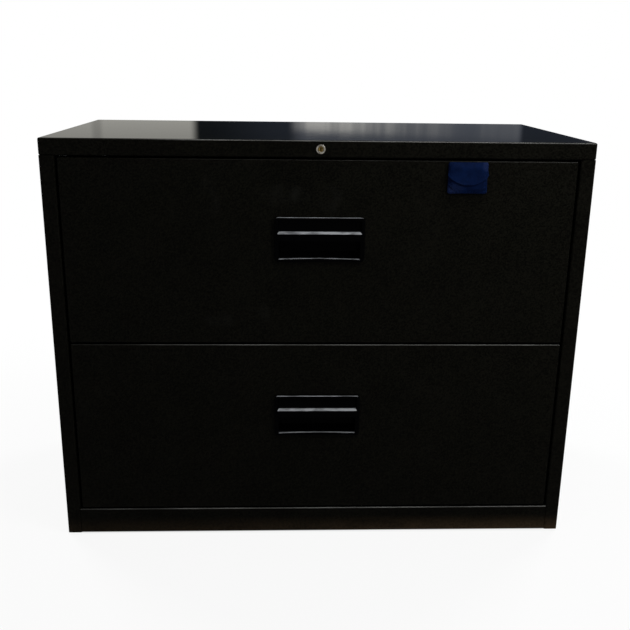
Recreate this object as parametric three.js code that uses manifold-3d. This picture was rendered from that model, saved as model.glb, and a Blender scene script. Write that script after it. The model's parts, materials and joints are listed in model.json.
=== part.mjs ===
// Two-drawer lateral filing cabinet in folded sheet steel.
// Millimetres, +Z up. X runs across the front, the drawers open towards -Y.
// The origin is on the floor, under the centre of the case.
import * as THREE from "three";
import { ConvexGeometry } from "three/addons/geometries/ConvexGeometry.js";
import { mergeVertices } from "three/addons/utils/BufferGeometryUtils.js";
import Module from "manifold-3d";

// Overall size of the case
const CASE_WIDTH = 914.4;
const CASE_DEPTH = 457.2;
const CASE_HEIGHT = 721;
const FLOOR_GAP = 3; // the case stands this far off the floor, on its glides

// Clearances
const SEAT_GAP = 0.3; // between two pieces that are welded, screwed or seated
const REVEAL = 3.2; // above, below and between the drawer fronts
const SIDE_REVEAL = 4; // beside the drawer fronts

// Case sheet metal
const CASE_SHEET = 1.2;
const CASE_BEND = 3; // outside radius of the folds
const CASE_CORNER = 4; // radius of the top's corners, seen from above
const CAP_HEIGHT = 28; // depth of the top's skirt, which is the rail over the drawers
const CAP_LIP = 22; // inward fold at the foot of the skirt
const POST_WIDTH = 25; // folded edge of each side panel, beside the drawers
const FRAME_DEPTH = 30; // how far the posts and the base rail fold back
const BASE_RAIL_HEIGHT = 48.5;
const BASE_RAIL_LIP = 10;
const BACK_FLANGE = 15;

// Uprights that carry the slides
const UPRIGHT_WIDTH = 30;
const UPRIGHT_FRONT_SETBACK = 80; // from the front face to the front upright
const UPRIGHT_REAR_SETBACK = 23; // from the back face to the rear upright

// Base runners, glides and counterweight
const RUNNER_BOTTOM = 8;
const RUNNER_HEIGHT = 21.7;
const RUNNER_WIDTH = 36;
const GLIDE_PAD_RADIUS = 17;
const GLIDE_PAD_HEIGHT = 5.5;
const GLIDE_COLLAR_RADIUS = 8;
const GLIDE_STEM_RADIUS = 4;
const GLIDE_STEM_LENGTH = 19;
const GLIDE_INSET = 20; // from the outside of the runner to the glide's axis
const GLIDE_FRONT_SETBACK = 60;
const GLIDE_REAR_SETBACK = 34;
const GLIDE_NUT_RADIUS = 8;
const GLIDE_NUT_HEIGHT = 7;
const WEIGHT_WIDTH = 760;
const WEIGHT_DEPTH = 72;
const WEIGHT_HEIGHT = 15.5;

// Drawers
const DRAWER_SHEET = 1;
const FRONT_DEPTH = 22; // thickness of the folded drawer front
const FRONT_BEND = 2.2;
const FRONT_CORNER = 3;
const FRONT_LIP = 12;
const TRAY_FLOOR = 12; // from the foot of the drawer front to the tray
const TRAY_DROP = 54; // from the top of the drawer front to the top of the tray
const HEAD_WALL_DROP = 13; // from the top of the drawer front to the top of the tray's front wall
const TRAY_REAR_GAP = 20;
const RAIL_SHEET = 1.5;
const RAIL_BEND = 2.5;
const RAIL_FOOT = 9; // how far a hanging rail stands in from the tray wall
const RAIL_LIP = 10;
const RAIL_LEG = 22;
const RAIL_DROP = 24; // from the top of the tray to the foot of a rail

// Three-member ball slides
const SLIDE_FRONT_SETBACK = 34; // from the front face
const SLIDE_REAR_SETBACK = 23.2; // from the back face
const SLIDE_THICKNESS = 13;
const SLIDE_SHEET = 1.5;
const SLIDE_LEVEL = 120; // from the foot of the drawer front to the slide's middle
const SLIDE_HALF_HEIGHT = 25;
const CASE_MEMBER_FLANGE = 11;
const MID_MEMBER_FLANGE = 8.5;
const DRAWER_MEMBER_FLANGE = 5.8;
const WEB_SPACING = 3.5; // from the case member's web to the middle member's
const BALL_DIAMETER = 4;
const RACE_PLAY = 0.1; // between a ball and each member
const CAGE_SHEET = 0.8;
const CAGE_FLANGE = 5;
const CAGE_LENGTH = 100;
const CAGE_BALLS = 3; // in each of a cage's two rows
const CAGE_BALL_PITCH = 40;

// Drawer pull: a moulded cup with a label recess over a hooded finger grip
const PULL_WIDTH = 152;
const PULL_HEIGHT = 76;
const PULL_DROP = 94.5; // from the top of the drawer front to the top of the pull
const PULL_RIM = 4.5;
const PULL_RIM_REACH = 6;
const PULL_CORNER = 5;
const PULL_CUP_DEPTH = 18.5; // behind the drawer face
const PULL_CUP_INSET = 5.5; // from the edge of the bezel to the cup
const PULL_CUTOUT_PLAY = 0.5;
const PULL_WALL = 2.2;
const LABEL_HEIGHT = 18.5;
const LABEL_DEPTH = 4;
const LABEL_END_SLOPE = 3.6;
const HOOD_REACH = 7.5;
const HOOD_SLOPE = 5;
const HOOD_HEIGHT = 12;
const HOOD_THICKNESS = 3;
const SNAP_REACH = 1.6;
const SNAP_DEPTH = 4;
const SNAP_LENGTH = 40;

// Lock in the middle of the top rail
const LOCK_FLANGE_RADIUS = 7.7;
const LOCK_FLANGE_HEIGHT = 1.3;
const LOCK_BODY_RADIUS = 6.5;
const LOCK_BODY_LENGTH = 27; // behind the front face
const LOCK_NUT_RADIUS = 10;
const LOCK_NUT_HEIGHT = 4.5;
const PLUG_RADIUS = 4.4;
const PLUG_RECESS = 0.4;
const PLUG_SPIGOT_RADIUS = 3;
const PLUG_SPIGOT_LENGTH = 4;
const KEYWAY_WIDTH = 1.8;
const KEYWAY_HEIGHT = 6.4;
const KEYWAY_DEPTH = 14;

// Linkage from the lock to the drawers
const PLUG_TURN = Math.PI / 2;
const CAM_RADIUS = 10; // from the plug's axis to the cam pin
const CAM_SHEET = 2;
const CAM_WIDTH = 9;
const CAM_GAP = 1; // from the lock body to the cam, and from the cam to the link
const PIN_RADIUS = 2;
const PIN_PLAY = 0.7;
const PIN_OVERRUN = 1.5;
const LINK_SHEET = 2;
const LINK_HEIGHT = 20;
const LINK_DROP = 7; // from the foot of the top rail down to the foot of the link
const LINK_END = 16; // from the cam pin to the free end of the link
const LINK_MARGIN = 2.5; // material left around the crank slot
const LINK_CAP_GAP = 4; // from the link's upright strip to the lip of the top
const BAR_TURN = (70 * Math.PI) / 180;
const BAR_RADIUS = 4;
const BAR_INSET = 17.2; // from the outside of the case to the bar's axis
const BAR_SETBACK = 50; // from the front face to the bar's axis
const CRANK_HEIGHT = 3;
const CRANK_WIDTH = 8;
const FINGER_LENGTH = 19;
const FINGER_WIDTH = 8;
const FINGER_HEIGHT = 4;
const FINGER_DROP = 101; // from the top of the drawer front to the finger's middle
const FINGER_PLAY = 0.7;
const BEARING_SHEET = 2;
const BEARING_FLANGE = 15;
const BEARING_MARGIN = 8; // from the bar's axis to the bearing's front edge
const LOWER_BEARING_LIFT = 30; // above the base pan
const UPPER_BEARING_DROP = 32; // below the top rail
const STRIKE_SHEET = 2.5;
const STRIKE_REACH = 9.5;
const STRIKE_LENGTH = 26;
const STRIKE_HEIGHT = 22;

// Key pouch held on the upper drawer by a magnet
const POUCH_WIDTH = 70;
const POUCH_HEIGHT = 52;
const POUCH_THICKNESS = 7;
const POUCH_CORNER = 4;
const POUCH_CROWN = 2.6;
const POUCH_CENTRE_X = 245;
const POUCH_DROP = 1.6; // from the top of the drawer front to the top of the pouch
const MAGNET_SHEET = 1.2;
const MAGNET_INSET = 6;
const FLAP_SHEET = 1.4;
const FLAP_HEIGHT = 34;
const FLAP_STRAIGHT = 20; // length of the flap's straight edges, above its round end

// Facets of round shapes
const HEX_SIDES = 6;
const PIN_SIDES = 16;
const ROD_SIDES = 20;
const LOCK_SIDES = 32;
const BEND_SEGMENTS = 3;
const CORNER_SEGMENTS = 4;
const FLAP_SEGMENTS = 8;
const BALL_SEGMENTS = 6;
const BALL_RINGS = 4;

// Planes worked out from the sizes above
const sideX = CASE_WIDTH / 2;
const frontY = -CASE_DEPTH / 2;
const backY = CASE_DEPTH / 2;
const capBottomZ = CASE_HEIGHT - CAP_HEIGHT;
const baseTopZ = FLOOR_GAP + BASE_RAIL_HEIGHT;
const openingX = sideX - POST_WIDTH;
const insideX = sideX - CASE_SHEET - SEAT_GAP; // just inside the side panels
const panX = insideX - CASE_SHEET - SEAT_GAP; // just inside the back panel's flanges
const panFrontY = frontY + FRAME_DEPTH + SEAT_GAP;
const panBackY = backY - CASE_BEND - SEAT_GAP; // clear of the fold behind it
const panZ = RUNNER_BOTTOM + RUNNER_HEIGHT + SEAT_GAP;
const floorZ = panZ + CASE_SHEET + SEAT_GAP; // what stands on the base pan
const drawerNames = ["lower", "upper"];
const frontHeight = (capBottomZ - baseTopZ - REVEAL * (drawerNames.length + 1)) / drawerNames.length;
const frontX = openingX - SIDE_REVEAL;
const slideX = openingX - SEAT_GAP; // outer face of the slides
const lockZ = capBottomZ + CAP_HEIGHT / 2;
const trayTop = frontHeight - TRAY_DROP;
const fingerLevel = frontHeight - FINGER_DROP;
const drawerFootZ = (level) => baseTopZ + REVEAL + level * (frontHeight + REVEAL);

const wasm = await Module();
wasm.setup();

// Materials
const paint = (name, color, roughness, metalness) =>
  new THREE.MeshStandardMaterial({ name, color, roughness, metalness });
const blackEnamel = paint("black_enamel", 0x14140f, 0.5, 0.1);
const blackMoulding = paint("black_moulding", 0x060607, 0.25, 0);
const zincSteel = paint("zinc_steel", 0x9a9c9e, 0.4, 0.9);
const chrome = paint("chrome", 0xc8c4ba, 0.15, 1);
const brass = paint("brass", 0x8c7434, 0.35, 1);
const castIron = paint("cast_iron", 0x2b2b2a, 0.7, 0.6);
const greyNylon = paint("grey_nylon", 0x3a3a3a, 0.6, 0);
const blueCloth = paint("blue_cloth", 0x0b1f55, 0.8, 0);
const magnetRubber = paint("magnet_rubber", 0x1b1715, 0.8, 0);

// Solids for joining and cutting
function solidOf(geometry) {
  const bare = geometry.clone();
  for (const name of Object.keys(bare.attributes)) {
    if (name !== "position") bare.deleteAttribute(name);
  }
  const merged = mergeVertices(bare, 1e-4);
  return new wasm.Manifold(
    new wasm.Mesh({
      numProp: 3,
      vertProperties: merged.attributes.position.array,
      triVerts: new Uint32Array(merged.index.array),
    }),
  );
}

function geometryOf(solid) {
  const mesh = solid.getMesh();
  const geometry = new THREE.BufferGeometry();
  geometry.setAttribute("position", new THREE.BufferAttribute(mesh.vertProperties, 3));
  geometry.setIndex(new THREE.BufferAttribute(mesh.triVerts, 1));
  const faceted = geometry.toNonIndexed();
  faceted.computeVertexNormals();
  return faceted;
}

const joined = (...geometries) =>
  geometryOf(geometries.map(solidOf).reduce((whole, next) => whole.add(next)));
const cut = (geometry, ...tools) =>
  geometryOf(tools.map(solidOf).reduce((whole, tool) => whole.subtract(tool), solidOf(geometry)));

// A block between two values on each axis
function block([x0, x1], [y0, y1], [z0, z1]) {
  const geometry = new THREE.BoxGeometry(x1 - x0, y1 - y0, z1 - z0);
  return geometry.translate((x0 + x1) / 2, (y0 + y1) / 2, (z0 + z1) / 2);
}

// A cylinder from one point along an axis
function rod(radius, length, axis, [x, y, z], sides = ROD_SIDES) {
  const geometry = new THREE.CylinderGeometry(radius, radius, length, sides);
  const turn = new THREE.Quaternion().setFromUnitVectors(new THREE.Vector3(0, 1, 0), axis);
  geometry.translate(0, length / 2, 0);
  return geometry.applyQuaternion(turn).translate(x, y, z);
}
const alongY = new THREE.Vector3(0, 1, 0);
const alongZ = new THREE.Vector3(0, 0, 1);

const flatExtrusion = (depth, curveSegments = BEND_SEGMENTS) => ({
  depth,
  bevelEnabled: false,
  curveSegments,
});

// A shape of (y, z) points extruded along X, or of (x, z) points extruded along Y
function extrudeX(shape, x0, x1) {
  const geometry = new THREE.ExtrudeGeometry(shape, flatExtrusion(x1 - x0));
  const turn = new THREE.Matrix4().makeBasis(
    new THREE.Vector3(0, 1, 0),
    new THREE.Vector3(0, 0, 1),
    new THREE.Vector3(1, 0, 0),
  );
  return geometry.applyMatrix4(turn).translate(x0, 0, 0);
}

function extrudeY(shape, y0, y1) {
  const geometry = new THREE.ExtrudeGeometry(shape, flatExtrusion(y1 - y0));
  const turn = new THREE.Matrix4().makeBasis(
    new THREE.Vector3(1, 0, 0),
    new THREE.Vector3(0, 0, 1),
    new THREE.Vector3(0, -1, 0),
  );
  return geometry.applyMatrix4(turn).translate(0, y1, 0);
}

function extrudeZ(shape, z0, z1) {
  const geometry = new THREE.ExtrudeGeometry(shape, flatExtrusion(z1 - z0));
  return geometry.translate(0, 0, z0);
}

const polygon = (points) => new THREE.Shape(points.map(([u, v]) => new THREE.Vector2(u, v)));

// The section of a sheet folded along a line of right angles that all turn left.
// The line is the outside of the folds, and the sheet lies on its left.
function foldedSection(line, sheet, bend) {
  const outside = line.map(([u, v]) => new THREE.Vector2(u, v));
  const along = outside.slice(1).map((p, i) => p.clone().sub(outside[i]).normalize());
  const leftOf = (d) => new THREE.Vector2(-d.y, d.x);
  const inside = outside.map((p, i) => {
    const before = along[i - 1];
    const after = along[i];
    const shift = new THREE.Vector2();
    if (before) shift.add(leftOf(before));
    if (after) shift.add(leftOf(after));
    return p.clone().addScaledVector(shift, sheet);
  });
  const shape = new THREE.Shape();
  const last = outside.length - 1;
  const corner = (p, into, out, radius) => {
    const start = p.clone().addScaledVector(into, -radius);
    const end = p.clone().addScaledVector(out, radius);
    shape.lineTo(start.x, start.y);
    shape.quadraticCurveTo(p.x, p.y, end.x, end.y);
  };
  shape.moveTo(outside[0].x, outside[0].y);
  for (let i = 1; i < last; i++) corner(outside[i], along[i - 1], along[i], bend);
  shape.lineTo(outside[last].x, outside[last].y);
  shape.lineTo(inside[last].x, inside[last].y);
  const reversed = along.map((d) => d.clone().negate());
  for (let i = last - 1; i > 0; i--) corner(inside[i], reversed[i], reversed[i - 1], bend - sheet);
  shape.lineTo(inside[0].x, inside[0].y);
  shape.closePath();
  return shape;
}

function roundedRectangle(width, height, radius) {
  const [w, h] = [width / 2, height / 2];
  const shape = new THREE.Shape();
  shape.moveTo(-w + radius, -h);
  shape.lineTo(w - radius, -h);
  shape.absarc(w - radius, -h + radius, radius, -Math.PI / 2, 0);
  shape.lineTo(w, h - radius);
  shape.absarc(w - radius, h - radius, radius, 0, Math.PI / 2);
  shape.lineTo(-w + radius, h);
  shape.absarc(-w + radius, h - radius, radius, Math.PI / 2, Math.PI);
  shape.lineTo(-w, -h + radius);
  shape.absarc(-w + radius, -h + radius, radius, Math.PI, 1.5 * Math.PI);
  return shape;
}

// A plate with a skirt folded down on all four sides and a lip folded in at its foot.
// The plate's face is at z 0, centred on the origin, and the skirt runs down to -depth.
function foldedPan({ width, height, depth, sheet, bend, corner, lip }) {
  const overrun = bend;
  const blank = new THREE.ExtrudeGeometry(roundedRectangle(width, height, corner), {
    depth: depth + overrun - 2 * bend,
    bevelThickness: bend,
    bevelSize: bend,
    bevelOffset: -bend,
    bevelSegments: BEND_SEGMENTS,
    curveSegments: BEND_SEGMENTS,
  });
  blank.translate(0, 0, -depth - overrun + bend);
  const across = (inset) => [inset - width / 2, width / 2 - inset];
  const up = (inset) => [inset - height / 2, height / 2 - inset];
  const below = -depth - 2 * overrun;
  return cut(
    blank,
    block([-width, width], [-height, height], [below, -depth]),
    block(across(sheet), up(sheet), [-depth + sheet, -sheet]),
    block(across(lip), up(lip), [below, -depth + 2 * sheet]),
  );
}

// A channel section: a web at u, with flanges towards the value u1
function channel(u0, u1, halfHeight, sheet) {
  const web = u0 + Math.sign(u1 - u0) * sheet;
  const h = halfHeight;
  const inner = h - sheet;
  const points = [
    [u0, -h],
    [u1, -h],
    [u1, -inner],
    [web, -inner],
    [web, inner],
    [u1, inner],
    [u1, h],
    [u0, h],
  ];
  return polygon(u1 > u0 ? points : points.reverse());
}

const cabinet = new THREE.Group();
function place(group, name, geometry, material) {
  const mesh = new THREE.Mesh(geometry, material);
  mesh.name = name;
  group.add(mesh);
  return mesh;
}

// The left side is the right side mirrored
const sides = ["right", "left"].map((name) => {
  const group = new THREE.Group();
  group.scale.x = name === "left" ? -1 : 1;
  cabinet.add(group);
  return { name, group };
});

// Case
function sidePanel() {
  const section = foldedSection(
    [[openingX, frontY + FRAME_DEPTH], [openingX, frontY], [sideX, frontY], [sideX, backY]],
    CASE_SHEET,
    CASE_BEND,
  );
  return extrudeZ(section, FLOOR_GAP, capBottomZ - SEAT_GAP);
}

function backPanel() {
  const section = foldedSection(
    [[insideX, backY - BACK_FLANGE], [insideX, backY], [-insideX, backY], [-insideX, backY - BACK_FLANGE]],
    CASE_SHEET,
    CASE_BEND,
  );
  return extrudeZ(section, FLOOR_GAP, capBottomZ - SEAT_GAP);
}

function topCap() {
  const pan = foldedPan({
    width: CASE_WIDTH,
    height: CASE_DEPTH,
    depth: CAP_HEIGHT,
    sheet: CASE_SHEET,
    bend: CASE_BEND,
    corner: CASE_CORNER,
    lip: CAP_LIP,
  });
  pan.translate(0, 0, CASE_HEIGHT);
  const hole = rod(LOCK_BODY_RADIUS + SEAT_GAP, CAP_LIP, alongY, [0, frontY - CAP_LIP / 2, lockZ]);
  return cut(pan, hole);
}

function baseRail() {
  const depth = frontY + FRAME_DEPTH;
  const section = foldedSection(
    [
      [depth, baseTopZ - BASE_RAIL_LIP],
      [depth, baseTopZ],
      [frontY, baseTopZ],
      [frontY, FLOOR_GAP],
      [depth, FLOOR_GAP],
    ],
    CASE_SHEET,
    CASE_BEND,
  );
  const half = openingX - SEAT_GAP;
  return extrudeX(section, -half, half);
}

const glidePlaces = [
  ["front", frontY + GLIDE_FRONT_SETBACK],
  ["rear", backY - GLIDE_REAR_SETBACK],
];
const glideX = panX - GLIDE_INSET;

function baseRunner() {
  const [x0, x1] = [panX - RUNNER_WIDTH, panX];
  const [z0, z1] = [RUNNER_BOTTOM, RUNNER_BOTTOM + RUNNER_HEIGHT];
  const section = foldedSection([[x0, z0], [x1, z0], [x1, z1], [x0, z1]], CASE_SHEET, CASE_BEND);
  const nutFoot = z0 + CASE_SHEET / 2;
  const nuts = glidePlaces.map(([, y]) =>
    rod(GLIDE_NUT_RADIUS, GLIDE_NUT_HEIGHT, alongZ, [glideX, y, nutFoot], HEX_SIDES),
  );
  const drills = glidePlaces.map(([, y]) =>
    rod(
      GLIDE_STEM_RADIUS + SEAT_GAP,
      2 * GLIDE_NUT_HEIGHT,
      alongZ,
      [glideX, y, z0 - GLIDE_NUT_HEIGHT / 2],
      PIN_SIDES,
    ),
  );
  return cut(joined(extrudeY(section, panFrontY, panBackY), ...nuts), ...drills);
}

function glide() {
  const shoulder = RUNNER_BOTTOM - SEAT_GAP;
  const outline = [
    [0, 0],
    [GLIDE_PAD_RADIUS, 0],
    [GLIDE_PAD_RADIUS, GLIDE_PAD_HEIGHT / 2],
    [(GLIDE_PAD_RADIUS + GLIDE_COLLAR_RADIUS) / 2, GLIDE_PAD_HEIGHT],
    [GLIDE_COLLAR_RADIUS, GLIDE_PAD_HEIGHT],
    [GLIDE_COLLAR_RADIUS, shoulder],
    [GLIDE_STEM_RADIUS, shoulder],
    [GLIDE_STEM_RADIUS, shoulder + GLIDE_STEM_LENGTH],
    [0, shoulder + GLIDE_STEM_LENGTH],
  ];
  const lathe = new THREE.LatheGeometry(outline.map(([r, z]) => new THREE.Vector2(r, z)), PIN_SIDES);
  return lathe.rotateX(Math.PI / 2);
}

function upright(y0) {
  const y1 = y0 + UPRIGHT_WIDTH;
  const section = foldedSection(
    [[insideX, y1], [openingX, y1], [openingX, y0], [insideX, y0]],
    CASE_SHEET,
    CASE_BEND,
  );
  return extrudeZ(section, floorZ, capBottomZ - SEAT_GAP);
}

place(cabinet, "top_cap", topCap(), blackEnamel);
place(cabinet, "back_panel", backPanel(), blackEnamel);
place(cabinet, "base_front_rail", baseRail(), blackEnamel);
place(
  cabinet,
  "base_pan",
  block([-panX, panX], [panFrontY, panBackY], [panZ, panZ + CASE_SHEET]),
  blackEnamel,
);
place(
  cabinet,
  "counterweight",
  block(
    [-WEIGHT_WIDTH / 2, WEIGHT_WIDTH / 2],
    [panBackY - BACK_FLANGE / 2 - WEIGHT_DEPTH, panBackY - BACK_FLANGE / 2],
    [floorZ, floorZ + WEIGHT_HEIGHT],
  ),
  castIron,
);
for (const { name, group } of sides) {
  place(group, `${name}_side_panel`, sidePanel(), blackEnamel);
  place(group, `${name}_base_runner`, baseRunner(), zincSteel);
  place(group, `${name}_front_upright`, upright(frontY + UPRIGHT_FRONT_SETBACK), zincSteel);
  place(group, `${name}_rear_upright`, upright(backY - UPRIGHT_REAR_SETBACK - UPRIGHT_WIDTH), zincSteel);
  for (const [where, y] of glidePlaces) {
    place(group, `${name}_${where}_glide`, glide(), greyNylon).position.set(glideX, y, 0);
  }
}

// Drawer pull, in its own frame: x across, z up from its foot, y 0 at the drawer face, -y outwards
const cupX = PULL_WIDTH / 2 - PULL_CUP_INSET;
const cupZ = [PULL_CUP_INSET, PULL_HEIGHT - PULL_CUP_INSET];

function pullBlank() {
  const bezel = new THREE.ExtrudeGeometry(
    roundedRectangle(PULL_WIDTH, PULL_HEIGHT, PULL_CORNER),
    flatExtrusion(HOOD_REACH - SEAT_GAP, CORNER_SEGMENTS),
  );
  bezel.rotateX(Math.PI / 2).translate(0, -SEAT_GAP, PULL_HEIGHT / 2);
  const cup = block([-cupX, cupX], [-2 * SEAT_GAP, PULL_CUP_DEPTH], cupZ);
  const snapFoot = DRAWER_SHEET + SEAT_GAP;
  const snaps = block(
    [-SNAP_LENGTH / 2, SNAP_LENGTH / 2],
    [snapFoot, snapFoot + SNAP_DEPTH],
    [cupZ[0] - SNAP_REACH, cupZ[1] + SNAP_REACH],
  );
  return joined(bezel, cup, snaps);
}

function drawerPull() {
  const edgeX = PULL_WIDTH / 2;
  const innerX = edgeX - PULL_RIM;
  const labelTop = PULL_HEIGHT - PULL_RIM;
  const hoodTop = labelTop - LABEL_HEIGHT;
  const hoodEdge = hoodTop - HOOD_SLOPE;
  const hoodFoot = hoodEdge - HOOD_HEIGHT;
  const labelFloor = LABEL_DEPTH - PULL_RIM_REACH;
  const outside = [-2 * HOOD_REACH, -PULL_RIM_REACH];

  // Only the hood reaches out fully, and the rim stands back all round it
  const aboveHood = block([-edgeX, edgeX], outside, [hoodTop, PULL_HEIGHT]);
  const belowHood = block([-edgeX, edgeX], outside, [0, hoodFoot]);
  const rightOfHood = block([innerX, edgeX], outside, [0, PULL_HEIGHT]);
  const leftOfHood = block([-edgeX, -innerX], outside, [0, PULL_HEIGHT]);

  // Label recess, with sloping ends, whose foot is the slope of the hood
  const recessCorners = [-1, 1].flatMap((s) => [
    new THREE.Vector3(s * (innerX - LABEL_END_SLOPE), labelFloor, hoodTop),
    new THREE.Vector3(s * (innerX - LABEL_END_SLOPE), labelFloor, labelTop),
    new THREE.Vector3(s * innerX, -HOOD_REACH, hoodEdge),
    new THREE.Vector3(s * innerX, -HOOD_REACH, labelTop),
  ]);
  const labelRecess = new ConvexGeometry(recessCorners);

  // Finger grip, open below the hood and reaching up behind it
  const gripX = cupX - PULL_WALL;
  const gripFloor = PULL_CUP_DEPTH - PULL_WALL;
  const gripFoot = cupZ[0] + PULL_WALL;
  const hoodBack = HOOD_THICKNESS - HOOD_REACH;
  const grip = new THREE.Shape();
  grip.moveTo(outside[0], PULL_RIM);
  grip.lineTo(-PULL_RIM_REACH, PULL_RIM);
  grip.lineTo(0, gripFoot);
  grip.quadraticCurveTo(gripFloor, gripFoot, gripFloor, hoodFoot);
  grip.lineTo(gripFloor, hoodTop - PULL_WALL);
  grip.lineTo(labelFloor + PULL_WALL, hoodTop - PULL_WALL);
  grip.lineTo(hoodBack, hoodEdge - PULL_WALL);
  grip.lineTo(hoodBack, hoodFoot);
  grip.lineTo(outside[0], hoodFoot);
  const fingerGrip = extrudeX(grip, -gripX, gripX);
  return cut(pullBlank(), aboveHood, belowHood, rightOfHood, leftOfHood, labelRecess, fingerGrip);
}

// Drawers, each in its own frame: y 0 at the front face, z 0 at the foot of the drawer front
const pullFoot = frontHeight - PULL_DROP - PULL_HEIGHT;
const trayX = slideX - SLIDE_THICKNESS - SEAT_GAP;
const trayY = [FRONT_DEPTH + SEAT_GAP, CASE_DEPTH - CASE_SHEET - TRAY_REAR_GAP];

function drawerFront() {
  const pan = foldedPan({
    width: 2 * frontX,
    height: frontHeight,
    depth: FRONT_DEPTH,
    sheet: DRAWER_SHEET,
    bend: FRONT_BEND,
    corner: FRONT_CORNER,
    lip: FRONT_LIP,
  });
  pan.rotateX(Math.PI / 2).translate(0, 0, frontHeight / 2);
  const cutoutX = cupX + PULL_CUTOUT_PLAY;
  const cutout = block(
    [-cutoutX, cutoutX],
    [-FRONT_DEPTH / 2, FRONT_DEPTH / 2],
    [pullFoot + cupZ[0] - PULL_CUTOUT_PLAY, pullFoot + cupZ[1] + PULL_CUTOUT_PLAY],
  );
  return cut(pan, cutout);
}

function drawerTray() {
  const t = DRAWER_SHEET;
  const shell = cut(
    block([-trayX, trayX], trayY, [TRAY_FLOOR, trayTop]),
    block([t - trayX, trayX - t], [trayY[0] + t, trayY[1] - t], [TRAY_FLOOR + t, trayTop + t]),
  );
  const headWallZ = [trayTop - t, frontHeight - HEAD_WALL_DROP];
  const headWall = block([-trayX, trayX], [trayY[0], trayY[0] + t], headWallZ);
  return joined(shell, headWall);
}

function hangingRail(atBack) {
  const foot = trayTop - RAIL_DROP;
  const wall = DRAWER_SHEET + SEAT_GAP;
  const legY = atBack ? trayY[1] - wall : trayY[0] + wall;
  const lipY = atBack ? legY - RAIL_FOOT : legY + RAIL_FOOT;
  const leg = [[legY, foot + RAIL_LEG], [legY, foot]];
  const lip = [[lipY, foot], [lipY, foot + RAIL_LIP]];
  const line = atBack ? [...lip.reverse(), ...leg.reverse()] : [...leg, ...lip];
  const half = trayX - wall;
  return extrudeX(foldedSection(line, RAIL_SHEET, RAIL_BEND), -half, half);
}

// The finger of the lock bar stops the strike's lug, which stands out beside the tray
const barX = sideX - BAR_INSET;
const strikeX = trayX + SEAT_GAP;
function lockStrike() {
  const lugX = strikeX + STRIKE_REACH;
  const fingerEdge = FINGER_WIDTH / 2 - (barX - lugX) * Math.cos(BAR_TURN);
  const y0 = BAR_SETBACK + fingerEdge / Math.sin(BAR_TURN) + FINGER_PLAY;
  const section = polygon([
    [strikeX, y0],
    [lugX, y0],
    [lugX, y0 + STRIKE_SHEET],
    [strikeX + STRIKE_SHEET, y0 + STRIKE_SHEET],
    [strikeX + STRIKE_SHEET, y0 + STRIKE_LENGTH],
    [strikeX, y0 + STRIKE_LENGTH],
  ]);
  return extrudeZ(section, fingerLevel - STRIKE_HEIGHT / 2, fingerLevel + STRIKE_HEIGHT / 2);
}

const drawers = drawerNames.map((name, level) => {
  const group = new THREE.Group();
  group.position.set(0, frontY, drawerFootZ(level));
  cabinet.add(group);
  place(group, `${name}_drawer_front`, drawerFront(), blackEnamel);
  place(group, `${name}_drawer_tray`, drawerTray(), blackEnamel);
  place(group, `${name}_front_hanging_rail`, hangingRail(false), zincSteel);
  place(group, `${name}_rear_hanging_rail`, hangingRail(true), zincSteel);
  place(group, `${name}_lock_strike`, lockStrike(), zincSteel);
  place(group, `${name}_drawer_pull`, drawerPull(), blackMoulding).position.z = pullFoot;
  return group;
});

// Slides, with z 0 at the slide's middle. Balls run between each member and the next.
const slideY = [frontY + SLIDE_FRONT_SETBACK, backY - SLIDE_REAR_SETBACK];
const raceStep = SLIDE_SHEET + BALL_DIAMETER + 2 * RACE_PLAY;
const midHalfHeight = SLIDE_HALF_HEIGHT - raceStep;
const drawerHalfHeight = midHalfHeight - raceStep;
const midX = slideX - WEB_SPACING;
const drawerMemberX = slideX - SLIDE_THICKNESS;

const slideMember = (u0, u1, halfHeight) => extrudeY(channel(u0, u1, halfHeight, SLIDE_SHEET), ...slideY);

// A ball cage between a member of the given half height and the one inside it
function ballCage(webX, memberHalfHeight) {
  const ballZ = memberHalfHeight - SLIDE_SHEET - RACE_PLAY - BALL_DIAMETER / 2;
  const middle = (slideY[0] + slideY[1]) / 2;
  const ballX = webX - CAGE_FLANGE / 2;
  const strip = extrudeY(
    channel(webX, webX - CAGE_FLANGE, ballZ + CAGE_SHEET / 2, CAGE_SHEET),
    middle - CAGE_LENGTH / 2,
    middle + CAGE_LENGTH / 2,
  );
  const ball = new THREE.SphereGeometry(BALL_DIAMETER / 2, BALL_SEGMENTS, BALL_RINGS);
  const balls = [];
  for (let i = 0; i < CAGE_BALLS; i++) {
    const y = middle + (i - (CAGE_BALLS - 1) / 2) * CAGE_BALL_PITCH;
    for (const z of [-ballZ, ballZ]) {
      balls.push(ball.clone().translate(ballX, y, z));
    }
  }
  return joined(strip, ...balls);
}

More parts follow.
